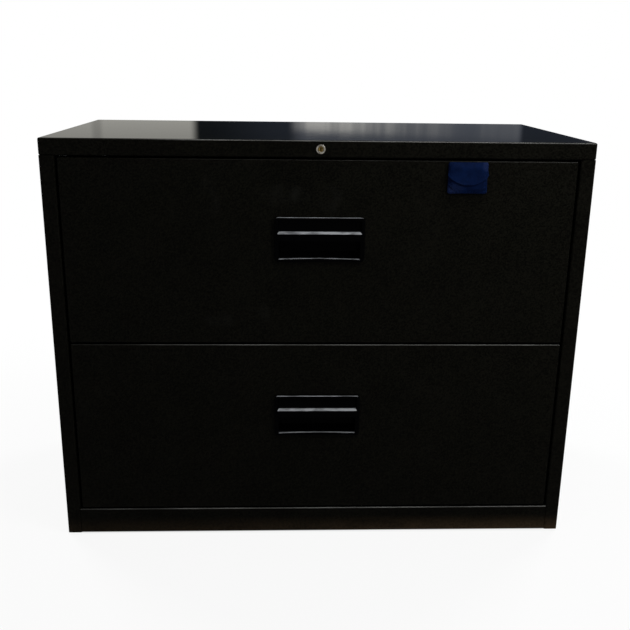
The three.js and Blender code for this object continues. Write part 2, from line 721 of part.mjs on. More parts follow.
const caseCageX = slideX - (SLIDE_SHEET + WEB_SPACING - CAGE_SHEET) / 2;
const clearOfMid = midX - SLIDE_SHEET;
const drawerFlangeX = drawerMemberX + DRAWER_MEMBER_FLANGE;
const drawerCageX = (clearOfMid + drawerFlangeX + CAGE_SHEET) / 2;
for (const { name, group } of sides) {
  drawerNames.forEach((drawer, level) => {
    const slide = new THREE.Group();
    slide.position.z = drawerFootZ(level) + SLIDE_LEVEL;
    group.add(slide);
    const label = `${drawer}_${name}_slide`;
    const caseMember = slideMember(slideX, slideX - CASE_MEMBER_FLANGE, SLIDE_HALF_HEIGHT);
    const midMember = slideMember(midX, midX - MID_MEMBER_FLANGE, midHalfHeight);
    const drawerMember = slideMember(drawerMemberX, drawerFlangeX, drawerHalfHeight);
    place(slide, `${label}_case_member`, caseMember, zincSteel);
    place(slide, `${label}_middle_member`, midMember, zincSteel);
    place(slide, `${label}_drawer_member`, drawerMember, zincSteel);
    place(slide, `${label}_case_cage`, ballCage(caseCageX, SLIDE_HALF_HEIGHT), zincSteel);
    place(slide, `${label}_drawer_cage`, ballCage(drawerCageX, midHalfHeight), zincSteel);
  });
}

// Lock, unlocked: the cam pin stands to the right of the plug's lowest point
const lockFront = frontY - SEAT_GAP - LOCK_FLANGE_HEIGHT;
const lockBack = frontY + LOCK_BODY_LENGTH;
const camY = lockBack + CAM_GAP;
const linkY = camY + CAM_SHEET + CAM_GAP;
const onAxis = (y) => [0, y, lockZ];

function lockHousing() {
  const flange = rod(LOCK_FLANGE_RADIUS, LOCK_FLANGE_HEIGHT, alongY, onAxis(lockFront), LOCK_SIDES);
  const body = rod(LOCK_BODY_RADIUS, lockBack - lockFront, alongY, onAxis(lockFront), LOCK_SIDES);
  const boreLength = 2 * (lockBack - lockFront);
  const boreFoot = onAxis(lockFront - LOCK_BODY_LENGTH);
  const bore = rod(PLUG_RADIUS + SEAT_GAP, boreLength, alongY, boreFoot, LOCK_SIDES);
  return cut(joined(flange, body), bore);
}

function lockNut() {
  const y = frontY + CASE_SHEET + SEAT_GAP;
  const nut = rod(LOCK_NUT_RADIUS, LOCK_NUT_HEIGHT, alongY, onAxis(y), HEX_SIDES);
  const threadRadius = LOCK_BODY_RADIUS + SEAT_GAP;
  const threadFoot = onAxis(y - LOCK_NUT_HEIGHT);
  const thread = rod(threadRadius, 3 * LOCK_NUT_HEIGHT, alongY, threadFoot, LOCK_SIDES);
  return cut(nut, thread);
}

function lockPlug() {
  const face = lockFront + PLUG_RECESS;
  const barrel = rod(PLUG_RADIUS, lockBack - face, alongY, onAxis(face), LOCK_SIDES);
  const spigotLength = lockBack - face + PLUG_SPIGOT_LENGTH;
  const spigot = rod(PLUG_SPIGOT_RADIUS, spigotLength, alongY, onAxis(face));
  const keyway = block(
    [-KEYWAY_WIDTH / 2, KEYWAY_WIDTH / 2],
    [lockFront - KEYWAY_DEPTH, face + KEYWAY_DEPTH],
    [lockZ - KEYWAY_HEIGHT / 2, lockZ + KEYWAY_HEIGHT / 2],
  );
  return cut(joined(barrel, spigot), keyway);
}

function lockCam() {
  const arm = block([-CAM_WIDTH / 2, CAM_WIDTH / 2], [camY, camY + CAM_SHEET], [-CAM_RADIUS, 0]);
  const boss = rod(CAM_WIDTH / 2 + PIN_RADIUS, CAM_SHEET, alongY, [0, camY, 0]);
  const tip = rod(CAM_WIDTH / 2, CAM_SHEET, alongY, [0, camY, -CAM_RADIUS]);
  const pinLength = linkY + LINK_SHEET + PIN_OVERRUN - camY;
  const pin = rod(PIN_RADIUS, pinLength, alongY, [0, camY, -CAM_RADIUS], PIN_SIDES);
  const hole = rod(PLUG_SPIGOT_RADIUS + SEAT_GAP, 3 * CAM_SHEET, alongY, [0, camY - CAM_SHEET, 0]);
  return cut(joined(arm, boss, tip, pin), hole).rotateY(-PLUG_TURN / 2).translate(0, 0, lockZ);
}

// Linkage: the cam pulls a link along the top rail, and the link turns an upright bar
const swing = CAM_RADIUS * Math.sin(PLUG_TURN / 2); // half the link's travel
const crankRadius = swing / Math.sin(BAR_TURN / 2);
const barY = frontY + BAR_SETBACK;
const linkZ = capBottomZ - LINK_DROP;
const slotHalf = PIN_RADIUS + PIN_PLAY;
const crankPinX = barX + swing;
const crankNearY = barY - crankRadius;
const crankFarY = barY - crankRadius * Math.cos(BAR_TURN / 2);

function lockLink() {
  const linkBack = linkY + LINK_SHEET;
  const stripEnd = sideX - CAP_LIP - LINK_CAP_GAP;
  const strip = block([swing - LINK_END, stripEnd], [linkY, linkBack], [linkZ, linkZ + LINK_HEIGHT]);
  const tab = block(
    [stripEnd - LINK_HEIGHT, crankPinX + slotHalf + LINK_MARGIN],
    [linkY, crankFarY + slotHalf + LINK_MARGIN],
    [linkZ, linkZ + LINK_SHEET],
  );
  const camSlot = block(
    [swing - slotHalf, swing + slotHalf],
    [linkY - LINK_SHEET, linkBack + LINK_SHEET],
    [lockZ - CAM_RADIUS - slotHalf, lockZ - CAM_RADIUS * Math.cos(PLUG_TURN / 2) + slotHalf],
  );
  const crankSlot = block(
    [crankPinX - slotHalf, crankPinX + slotHalf],
    [crankNearY - slotHalf, crankFarY + slotHalf],
    [linkZ - LINK_SHEET, linkZ + 2 * LINK_SHEET],
  );
  return cut(joined(strip, tab), camSlot, crankSlot);
}

function lockBar() {
  const crankTop = linkZ - SEAT_GAP;
  const crankZ = crankTop - CRANK_HEIGHT;
  const stem = rod(BAR_RADIUS, crankTop - floorZ, alongZ, [0, 0, floorZ]);
  const fingers = drawerNames.map((_, level) => {
    const z = drawerFootZ(level) + fingerLevel;
    return block(
      [-FINGER_WIDTH / 2, FINGER_WIDTH / 2],
      [-FINGER_LENGTH, 0],
      [z - FINGER_HEIGHT / 2, z + FINGER_HEIGHT / 2],
    );
  });
  const arm = block([-CRANK_WIDTH / 2, CRANK_WIDTH / 2], [-crankRadius, 0], [crankZ, crankTop]);
  const tip = rod(CRANK_WIDTH / 2, CRANK_HEIGHT, alongZ, [0, -crankRadius, crankZ], PIN_SIDES);
  const pinTop = linkZ + LINK_SHEET + PIN_OVERRUN;
  const pin = rod(PIN_RADIUS, pinTop - crankZ, alongZ, [0, -crankRadius, crankZ], PIN_SIDES);
  const crank = joined(arm, tip, pin).rotateZ(BAR_TURN / 2);
  return joined(stem, ...fingers, crank).translate(barX, barY, 0);
}

function barBearing(z) {
  const y = [barY - BEARING_MARGIN, frontY + UPRIGHT_FRONT_SETBACK - SEAT_GAP];
  const plate = block([openingX + SEAT_GAP, insideX], y, [z, z + BEARING_SHEET]);
  const flange = block([insideX - BEARING_SHEET, insideX], y, [z, z + BEARING_FLANGE]);
  const hole = rod(BAR_RADIUS + SEAT_GAP, 3 * BEARING_SHEET, alongZ, [barX, barY, z - BEARING_SHEET]);
  return cut(joined(plate, flange), hole);
}

place(cabinet, "lock_housing", lockHousing(), chrome);
place(cabinet, "lock_nut", lockNut(), zincSteel);
place(cabinet, "lock_plug", lockPlug(), brass);
place(cabinet, "lock_cam", lockCam(), zincSteel);
place(cabinet, "lock_link", lockLink(), zincSteel);
place(cabinet, "lock_bar", lockBar(), zincSteel);
place(cabinet, "lock_bar_lower_bearing", barBearing(floorZ + LOWER_BEARING_LIFT), zincSteel);
place(cabinet, "lock_bar_upper_bearing", barBearing(capBottomZ - UPPER_BEARING_DROP), zincSteel);

// Key pouch on the upper drawer
function pouchBody() {
  const body = new THREE.ExtrudeGeometry(roundedRectangle(POUCH_WIDTH, POUCH_HEIGHT, POUCH_CORNER), {
    depth: POUCH_THICKNESS - 2 * POUCH_CROWN,
    bevelThickness: POUCH_CROWN,
    bevelSize: POUCH_CROWN,
    bevelOffset: -POUCH_CROWN,
    bevelSegments: BEND_SEGMENTS,
    curveSegments: BEND_SEGMENTS,
  });
  return body.rotateX(Math.PI / 2).translate(0, -POUCH_CROWN, 0);
}

function pouchFlap() {
  const half = POUCH_WIDTH / 2 - POUCH_CROWN / 2;
  const outline = new THREE.Shape();
  outline.moveTo(half, 0);
  outline.lineTo(-half, 0);
  outline.lineTo(-half, -FLAP_STRAIGHT);
  outline.absellipse(0, -FLAP_STRAIGHT, half, FLAP_HEIGHT - FLAP_STRAIGHT, Math.PI, 2 * Math.PI);
  outline.closePath();
  const flap = new THREE.ExtrudeGeometry(outline, flatExtrusion(FLAP_SHEET, FLAP_SEGMENTS));
  return flap.rotateX(Math.PI / 2);
}

const pouch = new THREE.Group();
const upperDrawer = drawers[drawers.length - 1];
pouch.position.set(POUCH_CENTRE_X, 0, frontHeight - POUCH_DROP - POUCH_HEIGHT / 2);
upperDrawer.add(pouch);
const magnetX = POUCH_WIDTH / 2 - MAGNET_INSET;
const magnetZ = POUCH_HEIGHT / 2 - MAGNET_INSET;
const pouchBack = -SEAT_GAP - MAGNET_SHEET - SEAT_GAP;
const magnet = block([-magnetX, magnetX], [-SEAT_GAP - MAGNET_SHEET, -SEAT_GAP], [-magnetZ, magnetZ]);
place(pouch, "key_pouch_magnet", magnet, magnetRubber);
place(pouch, "key_pouch_body", pouchBody(), blueCloth).position.y = pouchBack;
const flapMesh = place(pouch, "key_pouch_flap", pouchFlap(), blueCloth);
flapMesh.position.set(0, pouchBack - POUCH_THICKNESS - SEAT_GAP, POUCH_HEIGHT / 2 - POUCH_CROWN);

export default cabinet;
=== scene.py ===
"""Black two-drawer lateral filing cabinet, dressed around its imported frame.

Metres, +Z up, in the frame's own axes: X runs across the front and the drawers open towards -Y.
"""

import json
import logging
import math
from collections.abc import Iterable, Sequence
from dataclasses import dataclass, field
from enum import Enum

import bmesh
import bpy
from mathutils import Matrix, Vector, noise
from mathutils.bvhtree import BVHTree

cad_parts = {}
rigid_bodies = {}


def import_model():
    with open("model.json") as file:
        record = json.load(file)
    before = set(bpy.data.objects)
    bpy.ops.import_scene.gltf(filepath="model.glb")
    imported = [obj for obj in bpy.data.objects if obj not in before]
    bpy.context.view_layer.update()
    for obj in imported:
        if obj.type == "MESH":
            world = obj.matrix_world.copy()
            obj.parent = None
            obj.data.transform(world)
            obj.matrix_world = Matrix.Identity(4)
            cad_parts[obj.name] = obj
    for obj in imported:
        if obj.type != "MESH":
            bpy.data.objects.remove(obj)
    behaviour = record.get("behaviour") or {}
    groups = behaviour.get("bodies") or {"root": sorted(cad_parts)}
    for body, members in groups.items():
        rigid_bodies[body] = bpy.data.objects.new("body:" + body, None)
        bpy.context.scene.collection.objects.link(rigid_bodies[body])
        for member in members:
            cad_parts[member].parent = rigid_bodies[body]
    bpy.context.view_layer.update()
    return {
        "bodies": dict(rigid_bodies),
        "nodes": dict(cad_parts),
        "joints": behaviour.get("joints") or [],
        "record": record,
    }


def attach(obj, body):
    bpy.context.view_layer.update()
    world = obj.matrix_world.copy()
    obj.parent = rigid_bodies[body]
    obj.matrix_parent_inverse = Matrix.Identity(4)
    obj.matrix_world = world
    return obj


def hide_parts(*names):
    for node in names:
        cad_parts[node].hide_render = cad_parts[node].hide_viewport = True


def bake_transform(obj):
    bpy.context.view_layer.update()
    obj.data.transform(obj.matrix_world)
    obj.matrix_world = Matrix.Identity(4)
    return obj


LOG = logging.getLogger("cabinet")
MM = 0.001
MERGE = 1e-7
LEAST_RADIUS = 0.1 * MM
FOLD_STEPS = 6
CORNER_STEPS = 8
EDGE_STEPS = 2
CREASE = math.radians(35)
FLAT_WEIGHT = 90
MATRIX_SIZE = 4
QUARTER = math.pi / 2
FULL_TURN = 2 * math.pi
FINISH_SUFFIX = "_finish"
WHITE = (1.0, 1.0, 1.0)

Point2 = tuple[float, float]
Point3 = tuple[float, float, float]
Colour = tuple[float, float, float]
Settings = dict[str, object]
Feeds = dict[str | int, object]


class Named(Enum):
    """A choice whose name is a word in the names of nodes and pieces."""

    @property
    def word(self) -> str:
        """The name as the frame's nodes use it."""
        return self.name.lower()


class Side(Named):
    """The two sides of the cabinet, with the sign of their X."""

    LEFT = -1
    RIGHT = 1


class End(Named):
    """The two ends of the base, with the Y of their glides."""

    FRONT = -168.6 * MM
    REAR = 194.6 * MM


class Level(Named):
    """The two drawers, with the levels of the front's foot and of the pull's foot."""

    LOWER = (54.7 * MM, 200.15 * MM)
    UPPER = (373.85 * MM, 519.3 * MM)

    @property
    def drawer(self) -> str:
        """Name of the drawer's body, which starts the names of its nodes."""
        return f"{self.word}_drawer"

    @property
    def front_foot(self) -> float:
        """Level of the foot of the drawer's front."""
        return self.value[0]

    @property
    def pull_foot(self) -> float:
        """Level of the foot of the drawer's pull."""
        return self.value[1]


class Plane(Enum):
    """The plane that an outline is drawn in; its depth runs along the third axis."""

    FRONT = "xz"
    TOP = "xy"
    SIDE = "yz"

    def at(self, u: float, v: float, depth: float) -> Vector:
        """A point of the plane.

        Args:
            u: its place along the plane's first axis.
            v: its place along the second.
            depth: its place along the third.

        Returns:
            The point.
        """
        if self is Plane.FRONT:
            return Vector((u, depth, v))
        if self is Plane.TOP:
            return Vector((u, v, depth))
        return Vector((depth, u, v))


class Ends(Enum):
    """What closes the two ends of a loft."""

    CAPPED = "capped"
    JOINED = "joined"


class Value:
    """A number socket whose arithmetic adds Math nodes to its shader."""

    def __init__(self, shader: "Shader", socket: bpy.types.NodeSocket) -> None:
        """Wraps a socket of the given shader."""
        self.shader = shader
        self.socket = socket

    def _math(self, operation: str, *terms: object) -> "Value":
        """One Math node.

        Args:
            operation: the node's operation.
            terms: values or numbers for its sockets, in order.

        Returns:
            The node's result.
        """
        node = self.shader.node("ShaderNodeMath", {"operation": operation}, dict(enumerate(terms)))
        return Value(self.shader, node.outputs[0])

    def __add__(self, other: object) -> "Value":
        """This value plus another."""
        return self._math("ADD", self, other)

    __radd__ = __add__

    def __sub__(self, other: object) -> "Value":
        """This value less another."""
        return self._math("SUBTRACT", self, other)

    def __rsub__(self, other: object) -> "Value":
        """Another value less this one."""
        return self._math("SUBTRACT", other, self)

    def __mul__(self, other: object) -> "Value":
        """This value times another."""
        return self._math("MULTIPLY", self, other)

    __rmul__ = __mul__

    def __truediv__(self, other: object) -> "Value":
        """This value over another."""
        return self._math("DIVIDE", self, other)

    def __abs__(self) -> "Value":
        """This value without its sign."""
        return self._math("ABSOLUTE", self)

    def sine(self) -> "Value":
        """The sine of this value in radians."""
        return self._math("SINE", self)

    def or_more(self, other: object) -> "Value":
        """The larger of this value and another."""
        return self._math("MAXIMUM", self, other)

    def lifted(self, least: float) -> "Value":
        """This share with its 0 raised to the given level; its 1 stays."""
        return least + (1 - least) * self

    def step(self, low: float, high: float) -> "Value":
        """A smooth rise from 0 at low to 1 at high; low above high gives a fall.

        Args:
            low: where the rise starts.
            high: where it ends.

        Returns:
            The stepped value, from 0 to 1.
        """
        ends = {"From Min": min(low, high), "From Max": max(low, high)}
        node = self.shader.node(
            "ShaderNodeMapRange", {"interpolation_type": "SMOOTHSTEP"}, {"Value": self, **ends}
        )
        rise = Value(self.shader, node.outputs["Result"])
        return rise if low < high else 1 - rise


@dataclass(frozen=True)
class Cloud:
    """A kind of noise: blotches to a metre, octaves of finer noise, and stretch along each axis.

    Its spread, where it has one, is the levels of the noise that become 0 and 1.
    """

    scale: float
    detail: float
    spread: Point2 | None = None
    stretch: Point3 = (1.0, 1.0, 1.0)


class Shader:
    """One material's or the world's node tree, and short ways to add nodes to it."""

    def __init__(self, owner: bpy.types.Material | bpy.types.World) -> None:
        """Clears the owner's tree.

        Args:
            owner: the material or world.
        """
        owner.use_nodes = True
        self.owner = owner
        self.tree = owner.node_tree
        self.tree.nodes.clear()

    @classmethod
    def material(cls, name: str) -> "Shader":
        """A shader on a new material for the finish of that name."""
        return cls(bpy.data.materials.new(name + FINISH_SUFFIX))

    def node(
        self, kind: str, settings: Settings | None = None, feeds: Feeds | None = None
    ) -> bpy.types.Node:
        """Adds a node.

        Args:
            kind: the node's type.
            settings: its properties, which are set first.
            feeds: values or links by socket name, identifier or place.

        Returns:
            The new node.
        """
        made = self.tree.nodes.new(kind)
        for key, setting in (settings or {}).items():
            setattr(made, key, setting)
        for key, given in (feeds or {}).items():
            self._feed(self._input(made, key), given)
        return made

    @staticmethod
    def _input(node: bpy.types.Node, key: str | int) -> bpy.types.NodeSocket:
        """Finds an input of a node.

        Args:
            node: the node.
            key: the input's identifier, name or place.

        Returns:
            The input.
        """
        for socket in node.inputs:
            if socket.identifier == key:
                return socket
        return node.inputs[key]

    def _feed(self, socket: bpy.types.NodeSocket, given: object) -> None:
        """Links something to an input, or sets the input's own value.

        Args:
            socket: the input.
            given: a value or socket to link, or a number, colour or vector.
        """
        if isinstance(given, Value):
            given = given.socket
        if isinstance(given, bpy.types.NodeSocket):
            self.tree.links.new(given, socket)
        elif isinstance(given, tuple) and socket.type == "RGBA":
            socket.default_value = (*given, 1.0)
        else:
            socket.default_value = given

    def place(self) -> bpy.types.NodeSocket:
        """Where a point lies on the object, in metres."""
        return self.node("ShaderNodeTexCoord").outputs["Object"]

    def parts(self, vector: bpy.types.NodeSocket) -> tuple[Value, Value, Value]:
        """The three numbers of a vector."""
        split = self.node("ShaderNodeSeparateXYZ", feeds={0: vector})
        return tuple(Value(self, out) for out in split.outputs)

    def facing(self) -> tuple[Value, Value, Value]:
        """The three numbers of the surface's normal."""
        return self.parts(self.node("ShaderNodeNewGeometry").outputs["Normal"])

    def stretched(self, factors: Point3) -> bpy.types.NodeSocket:
        """The place on the object, scaled along each axis."""
        feeds = {0: self.place(), 1: factors}
        return self.node("ShaderNodeVectorMath", {"operation": "MULTIPLY"}, feeds).outputs[0]

    def cloud(self, kind: Cloud) -> Value:
        """Noise over the object.

        Args:
            kind: how fine and how spread out it is.

        Returns:
            The noise, from 0 to 1.
        """
        feeds = {"Vector": self.stretched(kind.stretch), "Scale": kind.scale, "Detail": kind.detail}
        level = Value(self, self.node("ShaderNodeTexNoise", feeds=feeds).outputs[0])
        return level.step(*kind.spread) if kind.spread else level

    def cells(self, scale: float) -> Value:
        """Distance to the nearest of a spread of points, so many of them to a metre."""
        feeds = {"Vector": self.place(), "Scale": scale}
        return Value(self, self.node("ShaderNodeTexVoronoi", feeds=feeds).outputs["Distance"])

    def blend(self, factor: object, first: object, second: object) -> bpy.types.NodeSocket:
        """A colour between two others.

        Args:
            factor: 0 for the first, 1 for the second.
            first: colour or socket.
            second: colour or socket.

        Returns:
            The mixed colour's socket.
        """
        feeds = {"Factor_Float": factor, "A_Color": first, "B_Color": second}
        node = self.node("ShaderNodeMix", {"data_type": "RGBA", "clamp_factor": True}, feeds)
        return next(out for out in node.outputs if out.identifier == "Result_Color")

    def bump(self, height: Value, distance: float) -> bpy.types.NodeSocket:
        """A normal pushed about by a height of up to the given distance in metres."""
        feeds = {"Height": height, "Distance": distance, "Strength": 1.0}
        return self.node("ShaderNodeBump", feeds=feeds).outputs[0]

    def surface(self, **feeds: object) -> bpy.types.Material:
        """Ends the material with a Principled shader.

        Args:
            feeds: its sockets, with underscores for the spaces in their names.

        Returns:
            The finished material.
        """
        named = {key.replace("_", " ").replace("Ior", "IOR"): given for key, given in feeds.items()}
        made = self.node("ShaderNodeBsdfPrincipled", feeds=named)
        self.node("ShaderNodeOutputMaterial", feeds={"Surface": made.outputs[0]})
        return self.owner


@dataclass(frozen=True)
class Smudge:
    """A faint mark, an ellipse in X and Z; the enamel's are smudges, the cloth's are painted highlight
    spots.
    """

    x: float
    z: float
    half_width: float
    half_height: float
    strength: float
    soft_edge: Point2 = (1.0, 0.1)


def rubbed_at(marks: Iterable[Smudge], x: Value, z: Value) -> Value:
    """How strongly a point is marked by a spread of marks: smudges on the enamel, painted highlight spots
    on the cloth.

    Args:
        marks: the marks.
        x: the point's X.
        z: the point's Z.

    Returns:
        The sum of the marks' strengths there.
    """
    total: Value | float = 0.0
    for mark in marks:
        across = (x - mark.x) / mark.half_width
        along = (z - mark.z) / mark.half_height
        total = total + mark.strength * (across * across + along * along).step(*mark.soft_edge)
    return total


@dataclass(frozen=True)
class Enamel:
    """Smooth black enamel: faintly mottled, pale on its upper folds from wear and a painted highlight, and
    brown with dust by the floor.

    A pair of numbers is where an effect starts and where it is full, by place, level or slope.
    """

    name: str = "black_enamel"
    body: Colour = (0.0011, 0.001, 0.0007)
    mottle: Colour = (0.0046, 0.0044, 0.0032)
    # pale fold colour: partly wear, partly a painted highlight
    rubbed: Colour = (0.11, 0.11, 0.105)
    floor_dust: Colour = (0.03, 0.02, 0.0115)
    smear: Colour = (0.011, 0.0112, 0.01)
    grain: Cloud = Cloud(410, 2)
    blotches: Cloud = Cloud(16, 3)
    grain_share: float = 0.85
    mottled: Point2 = (0.33, 0.67)
    peel: Cloud = Cloud(260, 2)
    peel_depth: float = 0.012 * MM
    gloss: float = 0.008
    roughness: float = 0.055
    haze: Cloud = Cloud(35, 3)
    haze_swing: float = 0.04
    smudges: tuple[Smudge, ...] = (
        Smudge(-0.181, 0.632, 0.022, 0.045, 0.28),
        Smudge(-0.060, 0.632, 0.052, 0.020, 0.34),
        Smudge(0.018, 0.624, 0.028, 0.030, 0.28),
        Smudge(-0.169, 0.415, 0.034, 0.018, 0.25),
        Smudge(-0.096, 0.424, 0.018, 0.026, 0.22),
    )
    streaks: Cloud = Cloud(60, 4, (0.35, 0.75), (1, 1, 0.5))
    forward: Point2 = (-0.8, -0.95)
    dusty: Point2 = (38 * MM, 2 * MM)
    # the brown by the floor is stronger towards the right
    walked: Point2 = (-0.4, 0.4)
    least_walked: float = 0.4
    dust_film: float = 0.35
    scuffs: Cloud = Cloud(55, 4, (0.25, 0.7), (0.35, 1, 1))
    scuff_share: float = 0.4
    grit: Cloud = Cloud(240, 3, (0.35, 0.65))
    grit_share: float = 0.45
    folded: Point2 = (0.05, 0.2)
    # only folds that face up take the painted highlight, as the lamp hangs overhead
    upward: Point2 = (0.2, 0.5)
    wear: Cloud = Cloud(9, 4, (0.35, 0.65), (1, 1, 4))
    least_worn: float = 0.45
    # painted shade: the fold's highlight fades towards the left end; near the floor it stays full
    handled: Point2 = (-0.34, -0.22)
    least_handled: float = 0.12
    kicked: Point2 = (70 * MM, 60 * MM)
    kick_wear: float = 0.6
    # where a painted shade under the top keeps the fold's highlight dark, easing a little towards the right
    # end
    under_top: Point2 = (684 * MM, 686 * MM)
    out_from_under: Point2 = (705 * MM, 686 * MM)
    open_end: Point2 = (0.4, 0.2)
    least_shelter: float = 0.92

    def make(self) -> bpy.types.Material:
        """Makes the material.

        Returns:
            The finished material.
        """
        shader = Shader.material(self.name)
        x, _, z = shader.parts(shader.place())
        away = shader.facing()
        blotches = (1 - self.grain_share) * shader.cloud(self.blotches)
        mix = self.grain_share * shader.cloud(self.grain) + blotches
        colour = shader.blend(mix.step(*self.mottled), self.body, self.mottle)
        colour = shader.blend(self._smears(shader, x, z, away[1]), colour, self.smear)
        colour = shader.blend(self._dust(shader, x, z), colour, self.floor_dust)
        # upper folds painted pale: wear and a painted highlight
        colour = shader.blend(self._rub(shader, x, z, away), colour, self.rubbed)
        return shader.surface(
            Base_Color=colour,
            Roughness=self.roughness + self.haze_swing * (shader.cloud(self.haze) - 0.5),
            Specular_Ior_Level=self.gloss,
            Normal=shader.bump(shader.cloud(self.peel), self.peel_depth),
        )

    def _smears(self, shader: Shader, x: Value, z: Value, out: Value) -> Value:
        """How far a point of the front is smudged."""
        return rubbed_at(self.smudges, x, z) * shader.cloud(self.streaks) * out.step(*self.forward)

    def _dust(self, shader: Shader, x: Value, z: Value) -> Value:
        """How dusty a point is: most by the floor, and more towards the right.

        Args:
            shader: the material's shader.
            x: the point's X.
            z: the point's level.

        Returns:
            The share of dust.
        """
        walked = x.step(*self.walked).lifted(self.least_walked)
        scuffs = self.scuff_share * shader.cloud(self.scuffs)
        grit = self.grit_share * shader.cloud(self.grit)
        return z.step(*self.dusty) * walked * (self.dust_film + scuffs + grit)

    def _rub(self, shader: Shader, x: Value, z: Value, away: Sequence[Value]) -> Value:
        """How far a fold that faces up and out is painted pale, partly as wear and partly as a painted
        highlight of the lamp overhead; under the top a painted shade keeps it dark, easing a little towards
        the right.

        Args:
            shader: the material's shader.
            x: the point's X.
            z: the point's level.
            away: the surface's normal there.

        Returns:
            The share of wear and painted highlight.
        """
        flat = abs(away[0]).or_more(abs(away[1])).or_more(abs(away[2]))
        fold = (1 - flat).step(*self.folded) * away[2].step(*self.upward)
        worn = shader.cloud(self.wear).lifted(self.least_worn)
        kicked = self.kick_wear * z.step(*self.kicked)
        # painted shade: less highlight towards the left
        handled = x.step(*self.handled).lifted(self.least_handled).or_more(kicked)
        # painted shade on the fold just under the top
        under = z.step(*self.under_top) * z.step(*self.out_from_under)
        shade_under_top = under * x.step(*self.open_end).lifted(self.least_shelter)
        return fold * worn * handled * (1 - shade_under_top)


@dataclass(frozen=True)
class Moulding:
    """Black moulded plastic with pale dust and a painted highlight on the slopes that face up and out.

    A pair of numbers is where an effect starts and where it is full, by slope or place.
    """

    name: str = "black_moulding"
    body: Colour = (0.0005, 0.0005, 0.0006)
    # pale colour of the slopes that face up: dust and a painted highlight of the lamp overhead
    dust: Colour = (0.23, 0.236, 0.25)
    sloping: Point2 = (0.5, 0.7)
    near_level: Point2 = (0.8, 0.92)
    level_loss: float = 0.45
    proud: Point2 = (-231.5 * MM, -232.6 * MM)
    dusty_to: Point2 = (73.5 * MM, 70.5 * MM)
    film: Cloud = Cloud(160, 3, (0.25, 0.75), (0.3, 1, 1))
    least_film: float = 0.3
    film_swing: float = 0.9
    gloss: float = 0.006
    roughness: float = 0.22
    film_roughness: float = 0.2
    haze: Cloud = Cloud(300, 2)
    haze_swing: float = 0.08
    grain: Cloud = Cloud(1500, 2)
    grain_depth: float = 0.02 * MM

    def make(self) -> bpy.types.Material:
        """Makes the material.

        Returns:
            The finished material.
        """
        shader = Shader.material(self.name)
        up = shader.facing()[2]
        x, y, _ = shader.parts(shader.place())
        slope = up.step(*self.sloping) * (1 - self.level_loss * up.step(*self.near_level))
        slope = slope * y.step(*self.proud) * abs(x).step(*self.dusty_to)
        # painted highlight with dust on the upward slopes, ending short of the pull's ends
        film = slope * (self.least_film + self.film_swing * shader.cloud(self.film))
        haze = self.haze_swing * shader.cloud(self.haze)
        return shader.surface(
            Base_Color=shader.blend(film, self.body, self.dust),
            Roughness=self.roughness + self.film_roughness * film + haze,
            Specular_Ior_Level=self.gloss,
            Normal=shader.bump(shader.cloud(self.grain), self.grain_depth),
        )


@dataclass(frozen=True)
class Metal:
    """Bare or plated metal with a worn second colour in blotches, and darker behind its front face if told.
    """

    name: str
    bright: Colour
    worn: Colour
    roughness: float
    blotches: float = 60.0
    blotch_detail: float = 4.0
    blotch_spread: Point2 = (0.35, 0.75)
    worn_rougher: float = 0.2
    haze: Cloud = Cloud(900, 2)
    haze_swing: float = 0.05
    grain: Cloud = Cloud(1500, 3, None, (1, 0.2, 1))
    grain_depth: float = 0.02 * MM
    cells: float = 0.0
    blotch_share: float = 0.6
    cell_share: float = 0.5
    clean_to: float = math.inf
    grime: Colour = (0.004, 0.0035, 0.003)
    grime_depth: float = 0.5 * MM

    def make(self) -> bpy.types.Material:
        """Makes the material.

        Returns:
            The finished material.
        """
        shader = Shader.material(self.name)
        wear = shader.cloud(Cloud(self.blotches, self.blotch_detail, self.blotch_spread))
        if self.cells:
            wear = self.blotch_share * wear + self.cell_share * shader.cells(self.cells)
        rough = self.roughness * (1 + self.worn_rougher * wear) + self.haze_swing * shader.cloud(self.haze)
        colour = shader.blend(wear, self.bright, self.worn)
        # darker behind the front face, in the keyway
        if self.clean_to < math.inf:
            y = shader.parts(shader.place())[1]
            behind_face = y.step(self.clean_to, self.clean_to + self.grime_depth)
            colour = shader.blend(behind_face, colour, self.grime)
        return shader.surface(
            Base_Color=colour,
            Metallic=1.0,
            Roughness=rough,
            Normal=shader.bump(shader.cloud(self.grain), self.grain_depth),
        )


@dataclass(frozen=True)
class Solid:
    """Matt stuff of one kind right through, such as nylon, rubber or cast iron."""

    name: str
    body: Colour
    mottle: Colour
    roughness: float
    mottling: Cloud = Cloud(90, 4, (0.3, 0.7))
    haze: Cloud = Cloud(240, 3)
    haze_swing: float = 0.12
    grain: Cloud = Cloud(800, 4)
    grain_depth: float = 0.05 * MM
    metallic: float = 0.0
    gloss: float = 0.4

    def make(self) -> bpy.types.Material:
        """Makes the material.

        Returns:
            The finished material.
        """
        shader = Shader.material(self.name)
        return shader.surface(
            Base_Color=shader.blend(shader.cloud(self.mottling), self.body, self.mottle),
            Metallic=self.metallic,
            Roughness=self.roughness + self.haze_swing * shader.cloud(self.haze),
            Specular_Ior_Level=self.gloss,
            Normal=shader.bump(shader.cloud(self.grain), self.grain_depth),
        )


